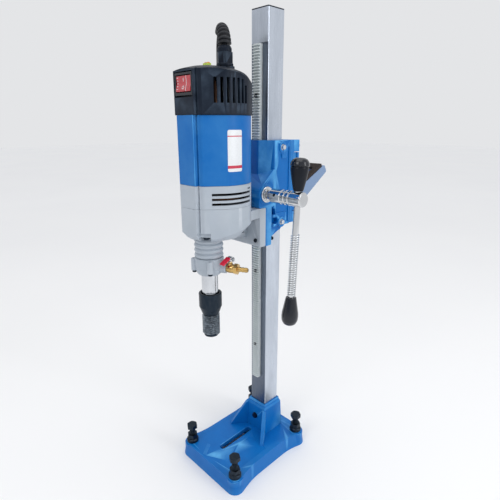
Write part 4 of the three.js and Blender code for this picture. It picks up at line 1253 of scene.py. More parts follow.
@dataclass
class Carriage:
    """The cast carriage, its clamp, wear pads, handle and motor bracket."""

    half: float = 40.0
    front: float = -22.0
    seam: float = 22.0
    rear: float = 39.0
    bottom: float = 490.0
    top: float = 643.0
    shaft: Point = (-43.5, 552.0)
    bolt_y: float = -1.0
    bolts: Point = (496.0, 631.0)
    boss: float = 52.0

    def build(self) -> None:
        """Builds the carriage."""
        maker = Maker("carriage")
        self.build_housing(maker)
        self.build_clamp(maker)
        self.build_bushes(maker)
        self.build_handle(maker)
        self.build_bracket(maker)

    def build_housing(self, maker: Maker) -> None:
        """Builds the carriage's casting round the column, the rack and the pinion."""
        half, shaft = self.half, self.shaft
        plan = [
            (half, self.seam), (-half, self.seam), (-half, self.front), (-12, -35), (12, -35),
            (half, self.front)
        ]
        body = Shape.prism(soften(plan, 2.0, True, 3), self.bottom, self.top)
        nose = [(-20, 528), (-60, 528), (-60, 561), (-53, 568), (-24, 594), (-20, 594)]
        body.join(Shape.prism(soften(nose, 4, True, 4), -half, half, Axis.X))
        skirt = [(-29, 457), (-29, 530), (-8, 530), (8, 492), (1, 481), (-5, 480), (-22, 472), (-27, 464)]
        body.join(Shape.prism(soften(skirt, 3, True, 3), -half + 4, half - 4, Axis.X))
        body.join(
            Shape.prism(
                soften([(-43, 457), (-43, 529), (-28, 529), (-28, 457)], 2.5, True, 3), -half, half, Axis.X
            )
        )
        body.join(Shape.rod(17.5, -half - 1.2, half + 1.2, Axis.X, shaft, 56))
        body.join(
            *[Shape.rod(9.5, -half - 1.2, half + 1.2, Axis.X, (self.bolt_y, z), 40) for z in self.bolts]
        )
        panel = soften(
            [
                (-17, 514), (-17, 590), (-12, 600), (-12, 620), (-2, 620), (-2, 612), (10, 612), (15, 632),
                (17.5, 632), (17.5, 494), (12, 494), (12, 514)
            ],
            3, True, 3
        )
        sill = soften([(-26, 494), (-26, 507), (-13, 507), (-10, 501), (-14, 494)], 2.5, True, 3)
        nook = soften([(-26, 512), (-26, 524), (-19, 524), (-17, 512)], 2.0, True, 3)
        for side in (1, -1):
            lip = (half - 1.6, half + 4) if side > 0 else (-half - 4, -half + 1.6)
            body.cut(Shape.prism(panel, *lip, Axis.X))
            deep = (half - 9, half + 4) if side > 0 else (-half - 4, -half + 9)
            body.cut(Shape.prism(sill, *deep, Axis.X), Shape.prism(nook, *deep, Axis.X))
        body.cut(*[Shape.rod(5.6, -half - 4, -half + 0.4, Axis.X, (self.bolt_y, z), 40) for z in self.bolts])
        body.cut(*[Shape.rod(5.6, half - 0.4, half + 4, Axis.X, (self.bolt_y, z), 40) for z in self.bolts])
        body.cut(Shape.box((-24, -24, 450), (24, 30, 650)))
        body.cut(Shape.box((-10, -31.2, 450), (10, -20, 650)))
        body.cut(Shape.box((-24, -24, 450), (24, 0, 517)))
        body.cut(Shape.rod(18, -11, 11, Axis.X, shaft, 48))
        body.join(Shape.rod(12, -half - self.boss, -half, Axis.X, shaft, 48))
        body.cut(Shape.rod(9, -half - self.boss - 5, half + 5, Axis.X, shaft, 40))
        body.cut(*[Shape.rod(3.4, -half - 5, half + 5, Axis.X, (self.bolt_y, z), 24) for z in self.bolts])
        maker.piece("carriage_casting", body, Coat.ENAMEL, ["carriage_housing"], edge=1.1)
        for side, word in ((1, "right"), (-1, "left")):
            pad = [
                (side * x, y) for x,
                y in [(20.3, 17), (23.7, 17), (23.7, -23.7), (10.5, -23.7), (10.5, -20.3), (20.3, -20.3)]
            ]
            maker.piece(
                f"wear_pad_{word}", Shape.prism(pad, 492, 642.6).bevel(0.4, 2), Coat.NYLON,
                [f"guide_pad_{word}"]
            )
            for z, level in zip(self.bolts, ("lower", "upper")):
                self.build_pad_bolt(maker, side, word, z, level)
        maker.socket_screw("skirt_screw_right", (36.2, -23, 468), Axis.X, 1, 3.4, 2.4, Coat.BLACK_OXIDE)

    def build_pad_bolt(self, maker: Maker, side: int, word: str, z: float, level: str) -> None:
        """Builds a screw that sets a wear pad, with its washer.

        Args:
            maker: the carriage's maker.
            side: 1 on the right, -1 on the left.
            word: the side's name.
            z: the screw's height.
            level: the name of the height.
        """
        seat = self.half - 0.3
        washer = [
            (0, 24.4 - seat), (3, 24.4 - seat), (3, 0), (4.9, 0), (5.2, 0.3), (5.2, 0.9), (4.9, 1.2), (0, 1.2)
        ]
        bolt = Shape.hexagon(7.6, 1.0, 5.0).join(Shape.turned(washer, steps=40))
        bolt.moved((0, 0, seat)).lay(Axis.X, (self.bolt_y, z))
        if side < 0:
            bolt.rotated(180, "Z", (0, self.bolt_y, 0))
        maker.piece(f"pad_screw_{word}_{level}", bolt, Coat.ZINC, [f"pad_bolt_{word}_{level}"])

    def build_clamp(self, maker: Maker) -> None:
        """Builds the clamp behind the column."""
        half, start = self.half, self.seam + 0.3
        plan = [
            (half, start), (half, self.rear - 8), (half - 8, self.rear), (-half + 8, self.rear),
            (-half, self.rear - 8), (-half, start)
        ]
        body = Shape.prism(soften(plan, 3, True, 4), self.bottom + 1, self.top)
        for side in (1, -1):
            for foot in (self.bottom + 1, self.top - 21):
                low, high = sorted((side * 31, side * half))
                body.join(
                    Shape.box(
                        (low, self.rear - 9, foot), (high, self.rear + 6.5, foot + (20 if foot < 600 else 21))
                    )
                )
            body.join(
                Shape.box((low, self.rear - 9, self.bottom + 22.4), (high, self.rear + 6.2, self.top - 22.4))
            )
            low, high = sorted((side * (half - 2.6), side * (half + 2)))
            body.cut(Shape.box((low, start + 6, self.bottom + 22), (high, self.rear + 2, self.top - 22)))
        body.cut(Shape.box((-22, self.rear - 3, self.bottom + 52), (22, self.rear + 2, self.top - 14)))
        body.cut(Shape.box((-24, start - 2, self.bottom - 5), (24, 24, self.top + 5)))
        body.join(Shape.box((-15, 20.3, self.bottom + 2), (15, 25, self.top - 2)))
        maker.piece("clamp_casting", body, Coat.ENAMEL, ["rear_clamp"], edge=1.2)
        for k, (x, z) in enumerate([(-35.4, 501), (35.4, 501), (-35.4, 632.5), (35.4, 632.5)]):
            maker.socket_screw(
                f"clamp_screw_{k + 1}", (x, self.rear + 6.5, z), Axis.Y, 1, 3.8, 3.8, Coat.ZINC
            )

    def build_bushes(self, maker: Maker) -> None:
        """Builds the flanged bushes of the pinion's shaft."""
        for side, word in ((1, "right"), (-1, "left")):
            face = self.half + (1.8 if side > 0 else self.boss + 0.3)
            outline = [
                (6.4, -16), (8.7, -16), (8.7, 0), (14.2, 0), (14.2, 2.2), (13.2, 3.4), (11.6, 3.4),
                (11.0, 2.6), (9.6, 2.6), (9.0, 4.4), (6.4, 4.4)
            ]
            bush = Shape.turned(
                [(r, side * (face + h)) for r, h in soften(outline, 0.35, True, 2)], Axis.X, self.shaft, 56
            )
            maker.piece(f"shaft_bush_{word}", bush, Coat.CHROME, [f"bearing_flange_{word}"])

    def build_handle(self, maker: Maker) -> None:
        """Builds the handle behind the clamp and its grip pad."""
        side_view = [
            (self.rear + 0.3, 500), (self.rear + 0.3, 538), (82, 561), (141, 591), (149, 577), (89, 536),
            (60, 512)
        ]
        strap = Shape.prism(soften(side_view, 4, True, 4), -30, 30, Axis.X)
        window = soften([(-17, 58), (17, 58), (17, 132), (-17, 132)], 8, True, 5)
        strap.cut(Shape.prism(window, 480, 620))
        maker.piece("carrying_handle", strap, Coat.HANDLE_COAT, ["rear_handle"], edge=1.3)
        pad = Shape.box((-29, 5.5, 0), (29, 59, 6)).cut(
            Shape.prism(soften([(-19, -5), (19, -5), (19, 45), (-19, 45)], 6, True, 4), -2, 8)
        )
        grooves = [Shape.box((-30, 7.5 + 3.4 * k, 5.4), (30, 8.6 + 3.4 * k, 7)) for k in range(15)]
        pad.cut(grooves[0].beside(*grooves[1:]))
        slope = math.degrees(math.atan2(30, 59))
        maker.piece(
            "handle_grip_pad", pad.rotated(slope, "X").moved((0, 82, 561.4)), Coat.PAD, ["handle_pad"],
            edge=0.5
        )
        for k, (x, z) in enumerate([(-22, 512), (22, 512), (-22, 530), (22, 530)]):
            maker.socket_screw(
                f"handle_screw_{k + 1}", (x, 52 if z < 520 else 58, z), Axis.Y, 1, 4, 4, Coat.ZINC, shank=10
            )

    def build_bracket(self, maker: Maker) -> None:
        """Builds the grey bracket that carries the motor."""
        half, back = self.half, -43.3
        plate = soften([(-58, 457.5), (-58, 528.5), (back, 528.5), (back, 457.5)], 3.0, True, 4)
        body = Shape.prism(plate, -half, half, Axis.X)
        for side in (1, -1):
            arm = [(half, -56), (half, -64), (43, -78), (49, -92), (24, -92), (24, -56)]
            body.join(Shape.prism(soften([(side * x, y) for x, y in arm], 5, True, 5), 512, 528.5))
        web = soften(
            [(-56, 470), (-87, 478), (-108, 474), (-108, 486), (-84, 502), (-78, 524), (-56, 524)], 3, True, 3
        )
        body.join(Shape.prism(web, -5, 5, Axis.X))
        body.cut(Motor().hull(0.4, 480, 600, Motor.front))
        body.cut(Shape.rod(26.2, 440, 490, Axis.Z, (0, WetEnd.y), 56))
        screws = [(30, 469), (-30, 469)]
        body.cut(*[Shape.rod(3.4, -60, back + 2, Axis.Y, at, 20) for at in screws])
        maker.piece("motor_bracket_casting", body, Coat.CAST_GREY, ["motor_bracket"], edge=1.4)
        for k, (x, z) in enumerate(screws):
            stands = [f"bracket_screw_{'right' if x > 0 else 'left'}"]
            maker.socket_screw(
                f"bracket_cap_screw_{k + 1}", (x, -58.3, z), Axis.Y, -1, 3.7, 2.4, Coat.BLACK_OXIDE, stands,
                12
            )


# ---- Crank ----


@dataclass
class Crank:
    """The pinion's shaft, the chromed hub and the bar that slides through it between two grips."""

    y: float = -43.5
    z: float = 552.0
    tilt: float = 3.2
    bar_x: float = 111.5
    radius: float = 12.5
    start: float = 50.0
    end: float = 124.0
    grooves: tuple[float, ...] = (81.5, 90.5, 99.5)
    bar: float = 5.4

    def placed(self, shape: Shape) -> Shape:
        """Tilts a shape drawn round the shaft's axis, and sets it in place.

        Args:
            shape: the shape.

        Returns:
            The same shape.
        """
        return shape.rotated(-self.tilt, "X").moved((0, self.y, self.z))

    def build(self) -> None:
        """Builds the crank."""
        shaft, handle = Maker("crank"), Maker("crank_handle")
        self.build_pinion(shaft)
        self.build_hub(shaft)
        bar = Shape.turned([(0, -202), (5.4, -202), (5.4, 52), (0, 52)], Axis.Z, (self.bar_x, 0), 40)
        handle.piece("sliding_bar", self.placed(bar), Coat.CHROME, ["crank_bar"])
        wire = [
            (self.bar + 1.2 + 1.05 * math.cos(a * math.tau / 8), 1.05 * math.sin(a * math.tau / 8))
            for a in range(8)
        ]
        spring = Shape.coil(wire, 4.0, 27.5, -168.5, (self.bar_x, 0), 28)
        handle.piece("bar_spring", self.placed(spring), Coat.ZINC, ["crank_spring"])
        self.build_grips(handle)

    def build_pinion(self, maker: Maker) -> None:
        """Builds the toothed pinion on its shaft."""
        step, outline = 360 / 20, []
        for k in range(20):
            middle = (k + 0.5) * step
            for radius, offset in (
                (13.17, -0.29), (15.2, -0.2), (16.42, -0.1), (16.42, 0.1), (15.2, 0.2), (13.17, 0.29)
            ):
                outline.append(polar(radius, middle + offset * step))
        pinion = Shape.prism(outline, -8, 8, Axis.X)
        pinion.join(Shape.rod(9.5, -10.5, 10.5, Axis.X, sides=40), Shape.rod(6, -99, 76, Axis.X, sides=40))
        maker.piece(
            "pinion_and_shaft", pinion.moved((0, self.y, self.z)), Coat.GROUND_STEEL, ["pinion_shaft"]
        )

    def build_hub(self, maker: Maker) -> None:
        """Builds the hub with its ring grooves, cross hole and set screw."""
        outline = [(0, self.start), (8.4, self.start), (8.4, self.start + 5.5), (self.radius, self.start + 8)]
        for g in self.grooves:
            outline += [
                (self.radius, g - 1.5), (self.radius - 1.2, g - 0.9), (self.radius - 1.2, g + 0.9),
                (self.radius, g + 1.5)
            ]
        outline += [(self.radius, self.end - 1.4), (self.radius - 1.4, self.end), (0, self.end)]
        hub = Shape.turned(soften(outline, 0.5, steps=3), Axis.X, steps=72)
        hub.cut(Shape.rod(6.3, self.start - 1, 77, Axis.X, sides=40))
        hub.cut(Shape.rod(self.bar + 0.3, -20, 20, Axis.Z, (self.bar_x, 0), 40))
        hub.cut(Shape.rod(2.7, -16, 0, Axis.Y, (69.5, 3), 24))
        maker.piece("crank_hub_turned", self.placed(hub), Coat.CHROME, ["crank_hub"])
        grub = Shape.rod(2.4, -10.6, -6.5, Axis.Y, (69.5, 3), 24).cut(
            Shape.rod(1.3, -12, -9, Axis.Y, (69.5, 3), 6)
        )
        maker.piece("hub_grub_screw", self.placed(grub), Coat.BLACK_OXIDE)

    def build_grips(self, maker: Maker) -> None:
        """Builds the two moulded grips."""
        upper = [
            (0, 53), (5.7, 53), (5.7, 13), (7.4, 13), (8.4, 14.4), (9.8, 20), (12.2, 31), (14.0, 42),
            (15.2, 50.2), (14.6, 51.6), (0, 51.6)
        ][1:]
        body = Shape.turned(soften([*upper[:-1], (14.6, 53)], 1.2, True, 3), Axis.Z, (self.bar_x, 0), 64)
        maker.piece("upper_grip", self.placed(body), Coat.SATIN_GRIP, ["crank_grip_upper"])
        dome = [
            (0, 53.2), (15.2, 53.2), (16.0, 54.2), (15.9, 56.4), (14.8, 60.6), (11.8, 64.4), (7.4, 66.5),
            (0, 67)
        ]
        maker.piece(
            "grip_dome", self.placed(Shape.turned(soften(dome, 1.0, steps=4), Axis.Z, (self.bar_x, 0), 64)),
            Coat.GLOSS_BLACK
        )
        lower = [
            (0, -223), (6.6, -222.4), (11.4, -219), (14.2, -213), (14.9, -206), (14.3, -198), (12.2, -187),
            (10.2, -176), (9.2, -170.6)
        ]
        inner = [(8.6, -170.3), (5.7, -170.3), (5.7, -202.6), (0, -202.6)]
        pear = Shape.turned(soften([*lower, *inner], 2.0, steps=4), Axis.Z, (self.bar_x, 0), 64)
        maker.piece("lower_grip", self.placed(pear), Coat.GLOSS_BLACK, ["crank_grip_lower"])


# ---- Motor ----


@dataclass
class Motor:
    """The motor from its gear case up to its cap, with the switch, the vents and the level."""

    y: float = -120.5
    radius: float = 57.0
    front: float = -182.0
    case_bottom: float = 487.5
    case_top: float = 541.0
    vent_top: float = 577.5
    blue_top: float = 683.0
    facet: float = -24.5
    case_screws: tuple[Point, Point] = ((21.5, -163.5), (-21.5, -163.5))
    dome: float = 757.0

    def outline(self, grow: float = 0.0, front: float | None = None, half: float = 20.5) -> list[Point]:
        """The motor's plan: a round body, two facets and a flat front.

        Args:
            grow: how much larger it is all round.
            front: where the flat front is.
            half: half the front's width.

        Returns:
            The closed outline.
        """
        radius, flat = self.radius + grow, (self.front if front is None else front) - grow
        edge, valley = half + grow, -173.6 - grow
        groove = [
            (edge - 0.8, flat), (edge, flat + 0.8), (edge, valley), (edge + 1.9, valley),
            (edge + 2.6, valley - 2.6)
        ]
        facet = soften(
            [groove[-1], (30.5 + grow, valley), polar(radius, self.facet, (0, self.y))], 3, steps=4
        )
        return mirrored(
            [
                *groove[:-1], *facet[:-1], *arc((0, self.y), radius, self.facet, 90, 40)[:-1],
                (0.4, self.y + radius)
            ]
        )

    def hull(self, grow: float, low: float, high: float, front: float | None = None) -> Shape:
        """The motor's outline between two heights.

        Args:
            grow: how much larger it is all round.
            low: its lower end.
            high: its upper end.
            front: where the flat front is.

        Returns:
            The prism.
        """
        return Shape.prism(self.outline(grow, front), low, high)

    def build(self) -> None:
        """Builds the motor."""
        maker = Maker("carriage")
        self.build_case(maker)
        self.build_body(maker)
        self.build_cap(maker)
        self.build_switch(maker)
        self.build_top(maker)

    def build_case(self, maker: Maker) -> None:
        """Builds the gear case with its turned underside and its two pocketed screws."""
        z0, z1, at = self.case_bottom, self.case_top, (0, self.y - 10.5)
        under = [
            (0, z0), (43, z0), (46, z0 + 1), (61, z0 + 18.6), (64, z0 + 20.6), (80, z0 + 21), (80, z1 + 9),
            (0, z1 + 9)
        ]
        body = self.hull(0, z0 - 2, z1 - 0.3).keep(Shape.turned(soften(under, 2.5, steps=4), Axis.Z, at, 96))
        wall = [(0, z0 + 9.5), (38, z0 + 9.5), (54, z0 + 27), (70, z0 + 27), (70, z1 + 5), (0, z1 + 5)]
        room = Shape.turned(wall, Axis.Z, at, 64).keep(Shape.rod(52, z0, z1 + 4, Axis.Z, (0, self.y), 64))
        body.cut(room, Shape.rod(12.4, z0 - 5, z0 + 20, Axis.Z, (0, WetEnd.y), 40))
        for place in self.case_screws:
            outward = math.degrees(math.atan2(place[1] - at[1], place[0]))
            mouth = Shape.prism(
                [(-3, -7), (-3, 7), (22, 14), (22, -14)], z0 - 5, z0 + 7
            ).rotated(outward).moved((*place, 0))
            flare = Shape.prism(
                [(7, -9.2), (7, 9.2), (22, 14), (22, -14)], z0 - 6, z0 + 14.6
            ).rotated(outward).moved((*place, 0))
            body.cut(Shape.rod(7, z0 - 5, z0 + 7, Axis.Z, place, 32), mouth, flare)
        maker.piece("gear_case_casting", body, Coat.CAST_GREY, ["gear_case"], edge=0.8)
        # The screws are real, but their heads are made tall so that their dark finish fills the upper part of each
        # pocket as painted shade.
        for place, word in zip(self.case_screws, ("front", "side")):
            maker.socket_screw(
                f"case_screw_{word}", (*place, z0 + 13), Axis.Z, -1, 5.6, 10.5, Coat.BLACK_OXIDE,
                [f"gear_case_screw_{word}"]
            )

    def build_body(self, maker: Maker) -> None:
        """Builds the vented ring, the blue housing and the sticker."""
        ring = self.hull(0, self.case_top, self.vent_top - 0.3)
        ring.cut(Shape.rod(53, self.case_top - 2, self.vent_top + 2, Axis.Z, (0, self.y), 96))
        for side in (1, -1):
            for k, z in enumerate((548.8, 556.4, 564.0, 570.3)):
                low, high = sorted((side * (33 + (14 if k == 3 else 0)), side * 64))
                ring.cut(
                    Shape.box(
                        (low, -163.5 if k < 3 else -102, z - 1.9), (high, -92, z + (1.9 if k < 3 else 1.2))
                    )
                )
        maker.piece("vented_ring", ring, Coat.CAST_GREY, ["vent_ring"], edge=0.5)
        shell = self.hull(0, self.vent_top, self.blue_top - 0.3)
        shell.cut(Shape.rod(53, self.vent_top - 2, self.blue_top + 2, Axis.Z, (0, self.y), 96))
        maker.piece("blue_shell", shell, Coat.MOTOR_BLUE, ["motor_housing"], edge=0.6)
        label = soften(
            [(self.y - 21.8, 599), (self.y + 3.5, 599), (self.y + 3.5, 661.5), (self.y - 21.8, 661.5)], 3,
            True, 5
        )
        skin = [
            (self.radius + 0.02, 590), (self.radius + 0.3, 590), (self.radius + 0.3, 670),
            (self.radius + 0.02, 670)
        ]
        sticker = Shape.turned(skin, Axis.Z, (0, self.y), 180).keep(Shape.prism(label, 20, 70, Axis.X))
        maker.piece("plain_sticker", sticker, Coat.STICKER)

    def build_cap(self, maker: Maker) -> None:
        """Builds the black cap with its domed top, side slots and switch well."""
        z0, front = self.blue_top, self.front + 2
        body = Shape.prism(self.outline(1.5, front, 23.5), z0, self.dome + 3)
        cover = [
            (0, z0 - 5), (79, z0 - 5), (79, 711), (72, 724), (62, 739.5), (56, 744.5), (46, 748.5),
            (26, 753.2), (0, self.dome - 2.2)
        ]
        body.keep(Shape.turned(soften(cover, 5, steps=4), Axis.Z, (0, self.y - 13.5), 96))
        body.join(Shape.rod(15.5, 740, self.dome, Axis.Z, (0, CordSet.exit_y), 56))
        hollow = [(0, z0 - 5), (53, z0 - 5), (53, 710), (46, 727), (26, 741), (0, 743)]
        body.cut(Shape.turned(hollow, Axis.Z, (0, self.y), 64))
        for k in range(7):
            top = 735 - 1.6 * max(0, k - 4) ** 2.6
            for side in (1, -1):
                slot = Shape.prism([(38, -2.4), (74, -2.4), (74, 2.4), (38, 2.4)], 699.7, top)
                angle = -39.5 + k * (10 - 0.22 * k)
                body.cut(slot.rotated(angle if side > 0 else 180 - angle).moved((0, self.y, 0)))
        body.cut(Shape.box((-22.3, front - 8, 708), (22.3, self.front + 7.8, 744)))
        body.cut(Shape.box((-19.7, front - 5, 712.2), (19.7, self.y - 44, 741)))
        body.cut(Shape.rod(8.2, 715, self.dome + 5, Axis.Z, (0, CordSet.exit_y), 32))
        body.cut(Shape.box((-6.3, -138.8, self.dome - 4.3), (6.3, -131.2, self.dome + 5)))
        body.cut(*[Shape.rod(3.4, 748, 765, Axis.Z, (x, -153.5), 28) for x in (8, -8)])
        maker.piece("black_cap", body, Coat.BLACK_MOULDING, ["rear_cap"], edge=0.7)
        bars = [
            Shape.box((-9, -0.8, 752.6), (9, 0.8, 755.2)).rotated(38).moved((-10 + 5.2 * k, -118.4, 0))
            for k in range(5)
        ]
        maker.piece("cap_grip_ribs", bars[0].beside(*bars[1:]), Coat.BLACK_MOULDING, edge=0.3)
        for x, word in ((8, "right"), (-8, "left")):
            maker.socket_screw(f"cap_screw_{word}", (x, -153.5, 750), Axis.Z, 1, 2.9, 2.2, Coat.BLACK_OXIDE)

    def build_switch(self, maker: Maker) -> None:
        """Builds the switch's frame, its red rocker with a faint painted glow, and the plain marks on it."""
        back, z = self.front + 7.5, 727.0
        outer = Shape.box((-21.3, back - 7, 710.6), (21.3, back - 0.3, 742.4))
        outer.join(Shape.box((-19.3, back - 1, 713), (19.3, back + 6, 740.4)))
        outer.cut(Shape.box((-18.2, back - 12, 714.8), (18.2, back + 12, 739.2)))
        maker.piece("switch_frame", outer, Coat.GLOSS_BLACK, ["switch_bezel"], edge=0.8)

        def wedge(lift: float) -> Shape:
            """The rocker's wedge, with its faces moved out."""
            side = [
                (back - 3, z - 11), (back - 7.3, z - 11), (back - 8.1, z - 9.2), (back - 5.6, z),
                (back - 6.4, z + 11), (back - 2.6, z + 11), (back + 2.6, z)
            ]
            return Shape.prism([(y - lift, h) for y, h in soften(side, 0.8, True, 3)], -17.4, 17.4, Axis.X)

        bars = [
            Shape.box((6.4, back - 12, z - 10.6), (7.3, back, z + 10.6)),
            Shape.box((-0.6, back - 12, z + 3.2), (0.6, back, z + 7.8))
        ]
        bars += [
            Shape.box((-15.6, back - 12, z - 8 + 4 * k), (-12.6, back, z - 7.1 + 4 * k)) for k in range(5)
        ]
        ring = [(1.7, back - 12), (2.6, back - 12), (2.6, back), (1.7, back)]
        marks = wedge(0.15).keep(
            bars[0].beside(*bars[1:], Shape.turned(ring, Axis.Y, (0, z - 5.4), 28))
        ).cut(wedge(0))
        maker.piece("lit_rocker", wedge(0), Coat.LAMP_RED, ["switch_rocker"], "switch", edge=0.5)
        maker.piece("rocker_marks", marks, Coat.MARKS, body="switch")

    def build_top(self, maker: Maker) -> None:
        """Builds the bubble level in the cap's top."""
        low, high, y = self.dome - 4, self.dome + 3.4, -135.0
        block = Shape.box((-6, y - 3.5, low), (6, y + 3.5, high - 1.2))
        maker.piece("level_block", block, Coat.VIAL, ["bubble_level"], edge=0.6)
        vial = [(0, -5.6), (1.6, -5.6), (2.2, -5), (2.2, 5), (1.6, 5.6), (0, 5.6)]
        maker.piece(
            "level_vial", Shape.turned(soften(vial, 0.6, steps=3), Axis.X, (y, high - 2.2), 32),
            Coat.BUBBLE_FRAME
        )
        lines = [
            Shape.turned(
                [(2.22, x), (2.34, x), (2.34, x + 0.5), (2.22, x + 0.5)], Axis.X, (y, high - 2.2), 32
            )
            for x in (-2.2, 1.7)
        ]
        maker.piece("level_marks", lines[0].beside(lines[1]), Coat.BLACK_MOULDING)

    def dress_inside(self, nodes: dict[str, bpy.types.Object]) -> None:
        """Gives the model's own hidden solids their finishes.

        Args:
            nodes: the model's solids by name.
        """
        for name, coat in (
            ("stator", Coat.WINDING), ("armature", Coat.WINDING), ("countershaft", Coat.GROUND_STEEL)
        ):
            nodes[name].data.materials.clear()
            nodes[name].data.materials.append(coat.material())
            LOG.info("%s: %s", name, coat.name.lower())


# ---- Wet end ----


@dataclass
class WetEnd:
    """The ribbed neck, the water housing with its valve, the spindle and the thread adapter."""

    y: float = -142.6
    neck_top: float = 487.2
    top: float = 455.5
    bottom: float = 420.5
    radius: float = 27.0
    valve_z: float = 434.0
    valve_angle: float = 25.0
    stem: float = 39.5

    def build(self) -> None:
        """Builds the wet end."""
        maker = Maker("carriage")
        self.build_neck(maker)
        self.build_housing(maker)
        self.build_valve(maker)
        spinning = Maker("spindle")
        self.build_spindle(spinning)
        self.build_adapter(spinning)

    def aimed(self, shape: Shape) -> Shape:
        """Turns a shape drawn along +X to the valve's direction and sets it at the valve.

        Args:
            shape: the shape.

        Returns:
            The same shape.
        """
        return shape.rotated(self.valve_angle).moved((0, self.y, self.valve_z))

    def build_neck(self, maker: Maker) -> None:
        """Builds the neck with its four rounded ribs."""
        start, step = self.top - 3.6, (self.neck_top - self.top + 3.6) / 4
        profile: list[Point] = [(11.5, start)]
        for k in range(4):
            z = start + k * step
            profile += [
                (21.9, z + 0.3), (23.6, z + step * 0.1), (25.2, z + step * 0.42), (24.0, z + step * 0.78),
                (21.9, z + step * 0.92)
            ]
        profile += [(22.4, self.neck_top), (11.5, self.neck_top)]
        neck = Shape.turned(soften(profile, 0.9, True, 3), Axis.Z, (0, self.y), 96)
        maker.piece("ribbed_neck", neck, Coat.CAST_GREY, ["neck_housing"], smooth=50)

    def build_housing(self, maker: Maker) -> None:
        """Builds the water housing with three of its four screw bosses and the inlet stub."""
        top, bottom, radius, at = self.top - 4, self.bottom, self.radius - 1.6, (0, self.y)
        bowl = [
            (0, bottom), (18.5, bottom), (21, bottom + 2), (24.2, bottom + 9.4),
            (radius - 0.9, bottom + 10.4), (radius - 0.9, bottom + 13.6), (radius, bottom + 14.4),
            (radius, top - 1.5), (radius - 1.5, top), (0, top)
        ]
        body = Shape.turned(soften(bowl, 0.7, steps=3), Axis.Z, at, 96)
        places = [polar(radius + 0.4, a, at) for a in (-36, -126, 144)]
        for place in places:
            body.join(
                Shape.turned(
                    [
                        (0, bottom + 8), (5.4, bottom + 8), (5.4, top - 3), (4.8, top - 2), (2.4, top - 2),
                        (2.2, top - 4.5), (0, top - 4.5)
                    ],
                    Axis.Z, place, 40
                )
            )
        stub = [(0, radius - 6), (9.5, radius - 6), (9.5, 32.4), (8.6, 33.4), (0, 33.4)]
        body.join(self.aimed(Shape.turned(soften(stub, 0.6, steps=3), Axis.X, steps=48)))
        body.cut(Shape.rod(15.2, bottom - 1, top + 1, Axis.Z, at, 64))
        body.cut(*[Shape.rod(2.7, bottom, bottom + 22, Axis.Z, place, 20) for place in places])
        maker.piece("water_housing_casting", body, Coat.CAST_GREY, ["water_housing"], smooth=40, edge=0.4)
        names = ("front", "side", "left_rear")
        for place, name in zip(places, names):
            stands = [f"water_screw_{name}"] if name in ("front", "side") else []
            maker.socket_screw(
                f"housing_screw_{name}", (*place, bottom + 7.7), Axis.Z, -1, 3.9, 3.6, Coat.BLACK_OXIDE,
                stands, 10
            )

    def build_valve(self, maker: Maker) -> None:
        """Builds the brass valve with its ribbed hose tail, and its lever."""
        body = [
            (0, 33.7), (6.9, 33.7), (6.9, 35.4), (7.7, 37), (8.0, 41), (7.7, 45), (6.9, 47.4), (6.9, 48.6),
            (0, 48.6)
        ]
        valve = Shape.turned(soften(body, 1.0, steps=4), Axis.X, steps=56)
        valve.join(Shape.hexagon(17, 47.8, 54.2, Axis.X, chamfer=0.08))
        tail: list[Point] = [(0, 52), (4.2, 52), (4.2, 55)]
        for x in (55.6, 60.8, 66.0):
            tail += [(3.6, x), (3.7, x + 0.6), (4.6, x + 1.1), (3.9, x + 4.6)]
        tail += [(3.6, 71.2), (3.2, 72), (0, 72)]
        valve.join(Shape.turned(soften(tail, 0.25, steps=2), Axis.X, steps=48))
        valve.join(
            Shape.turned(
                [(0, 0), (4.6, 0), (4.6, 9), (3.6, 9.8), (3.6, 11.4), (0, 11.4)], Axis.Z, (self.stem, 0), 36
            )
        )
        valve.cut(Shape.rod(2.4, 30, 80, Axis.X, sides=28))
        maker.piece("brass_valve", self.aimed(valve), Coat.BRASS, ["valve_body"], smooth=30)
        z = 11.7
        arm = [
            (5.4, z), (6.4, z + 2.4), (6.6, z + 5.6), (4.6, z + 8.6), (1.2, z + 9.4), (-2.2, z + 8.2),
            (-8, z + 4.6), (-7.4, z + 3.2), (-1.8, z + 6.6), (1, z + 7.6), (3.6, z + 7), (4.8, z + 4.8),
            (4.2, z + 2), (-4.4, z + 2), (-4.4, z)
        ]
        lever = Shape.prism(soften(arm, 0.6, True, 3), -4.6, 4.6, Axis.X).bevel(0.4, 2, 45)
        lever.join(Shape.hexagon(7, z + 1.5, z + 4.4))
        plated = self.aimed(lever.rotated(-self.valve_angle).moved((self.stem, 0, 0)))
        maker.piece("lever_plate", plated, Coat.CHROME, ["valve_lever"], "valve")
        sleeve = [
            (-3.4, z + 9), (-5.4, z + 8.4), (-19.5, z + 0.6), (-20, z - 1.2), (-18.6, z - 2.4), (-4.2, z + 5)
        ]
        red = Shape.prism(soften(sleeve, 0.9, True, 3), -5.0, 5.0, Axis.X).bevel(0.9, 3, 45)
        maker.piece(
            "lever_sleeve", self.aimed(red.rotated(-self.valve_angle).moved((self.stem, 0, 0))),
            Coat.SLEEVE_RED, body="valve"
        )

    def build_spindle(self, maker: Maker) -> None:
        """Builds the ground spindle with its two flats."""
        outline = [
            (0, 359), (7.7, 359), (7.7, 377), (14.5, 377), (14.5, 451), (11, 453.5), (11, 497.5), (22, 497.5),
            (22, 508), (8, 508), (8, 531), (0, 531)
        ]
        shaft = Shape.turned(outline, Axis.Z, (0, self.y), 72)
        for turn in (51.5, 231.5):
            shaft.cut(Shape.box((-20, -20, 386), (20, -12.2, 411)).rotated(turn).moved((0, self.y, 0)))
        shaft.bevel(0.35, 2, 32).cut(Shape.rod(4, 355, 450, Axis.Z, (0, self.y), 32))
        maker.piece("ground_spindle", shaft, Coat.GROUND_STEEL, ["output_spindle"])

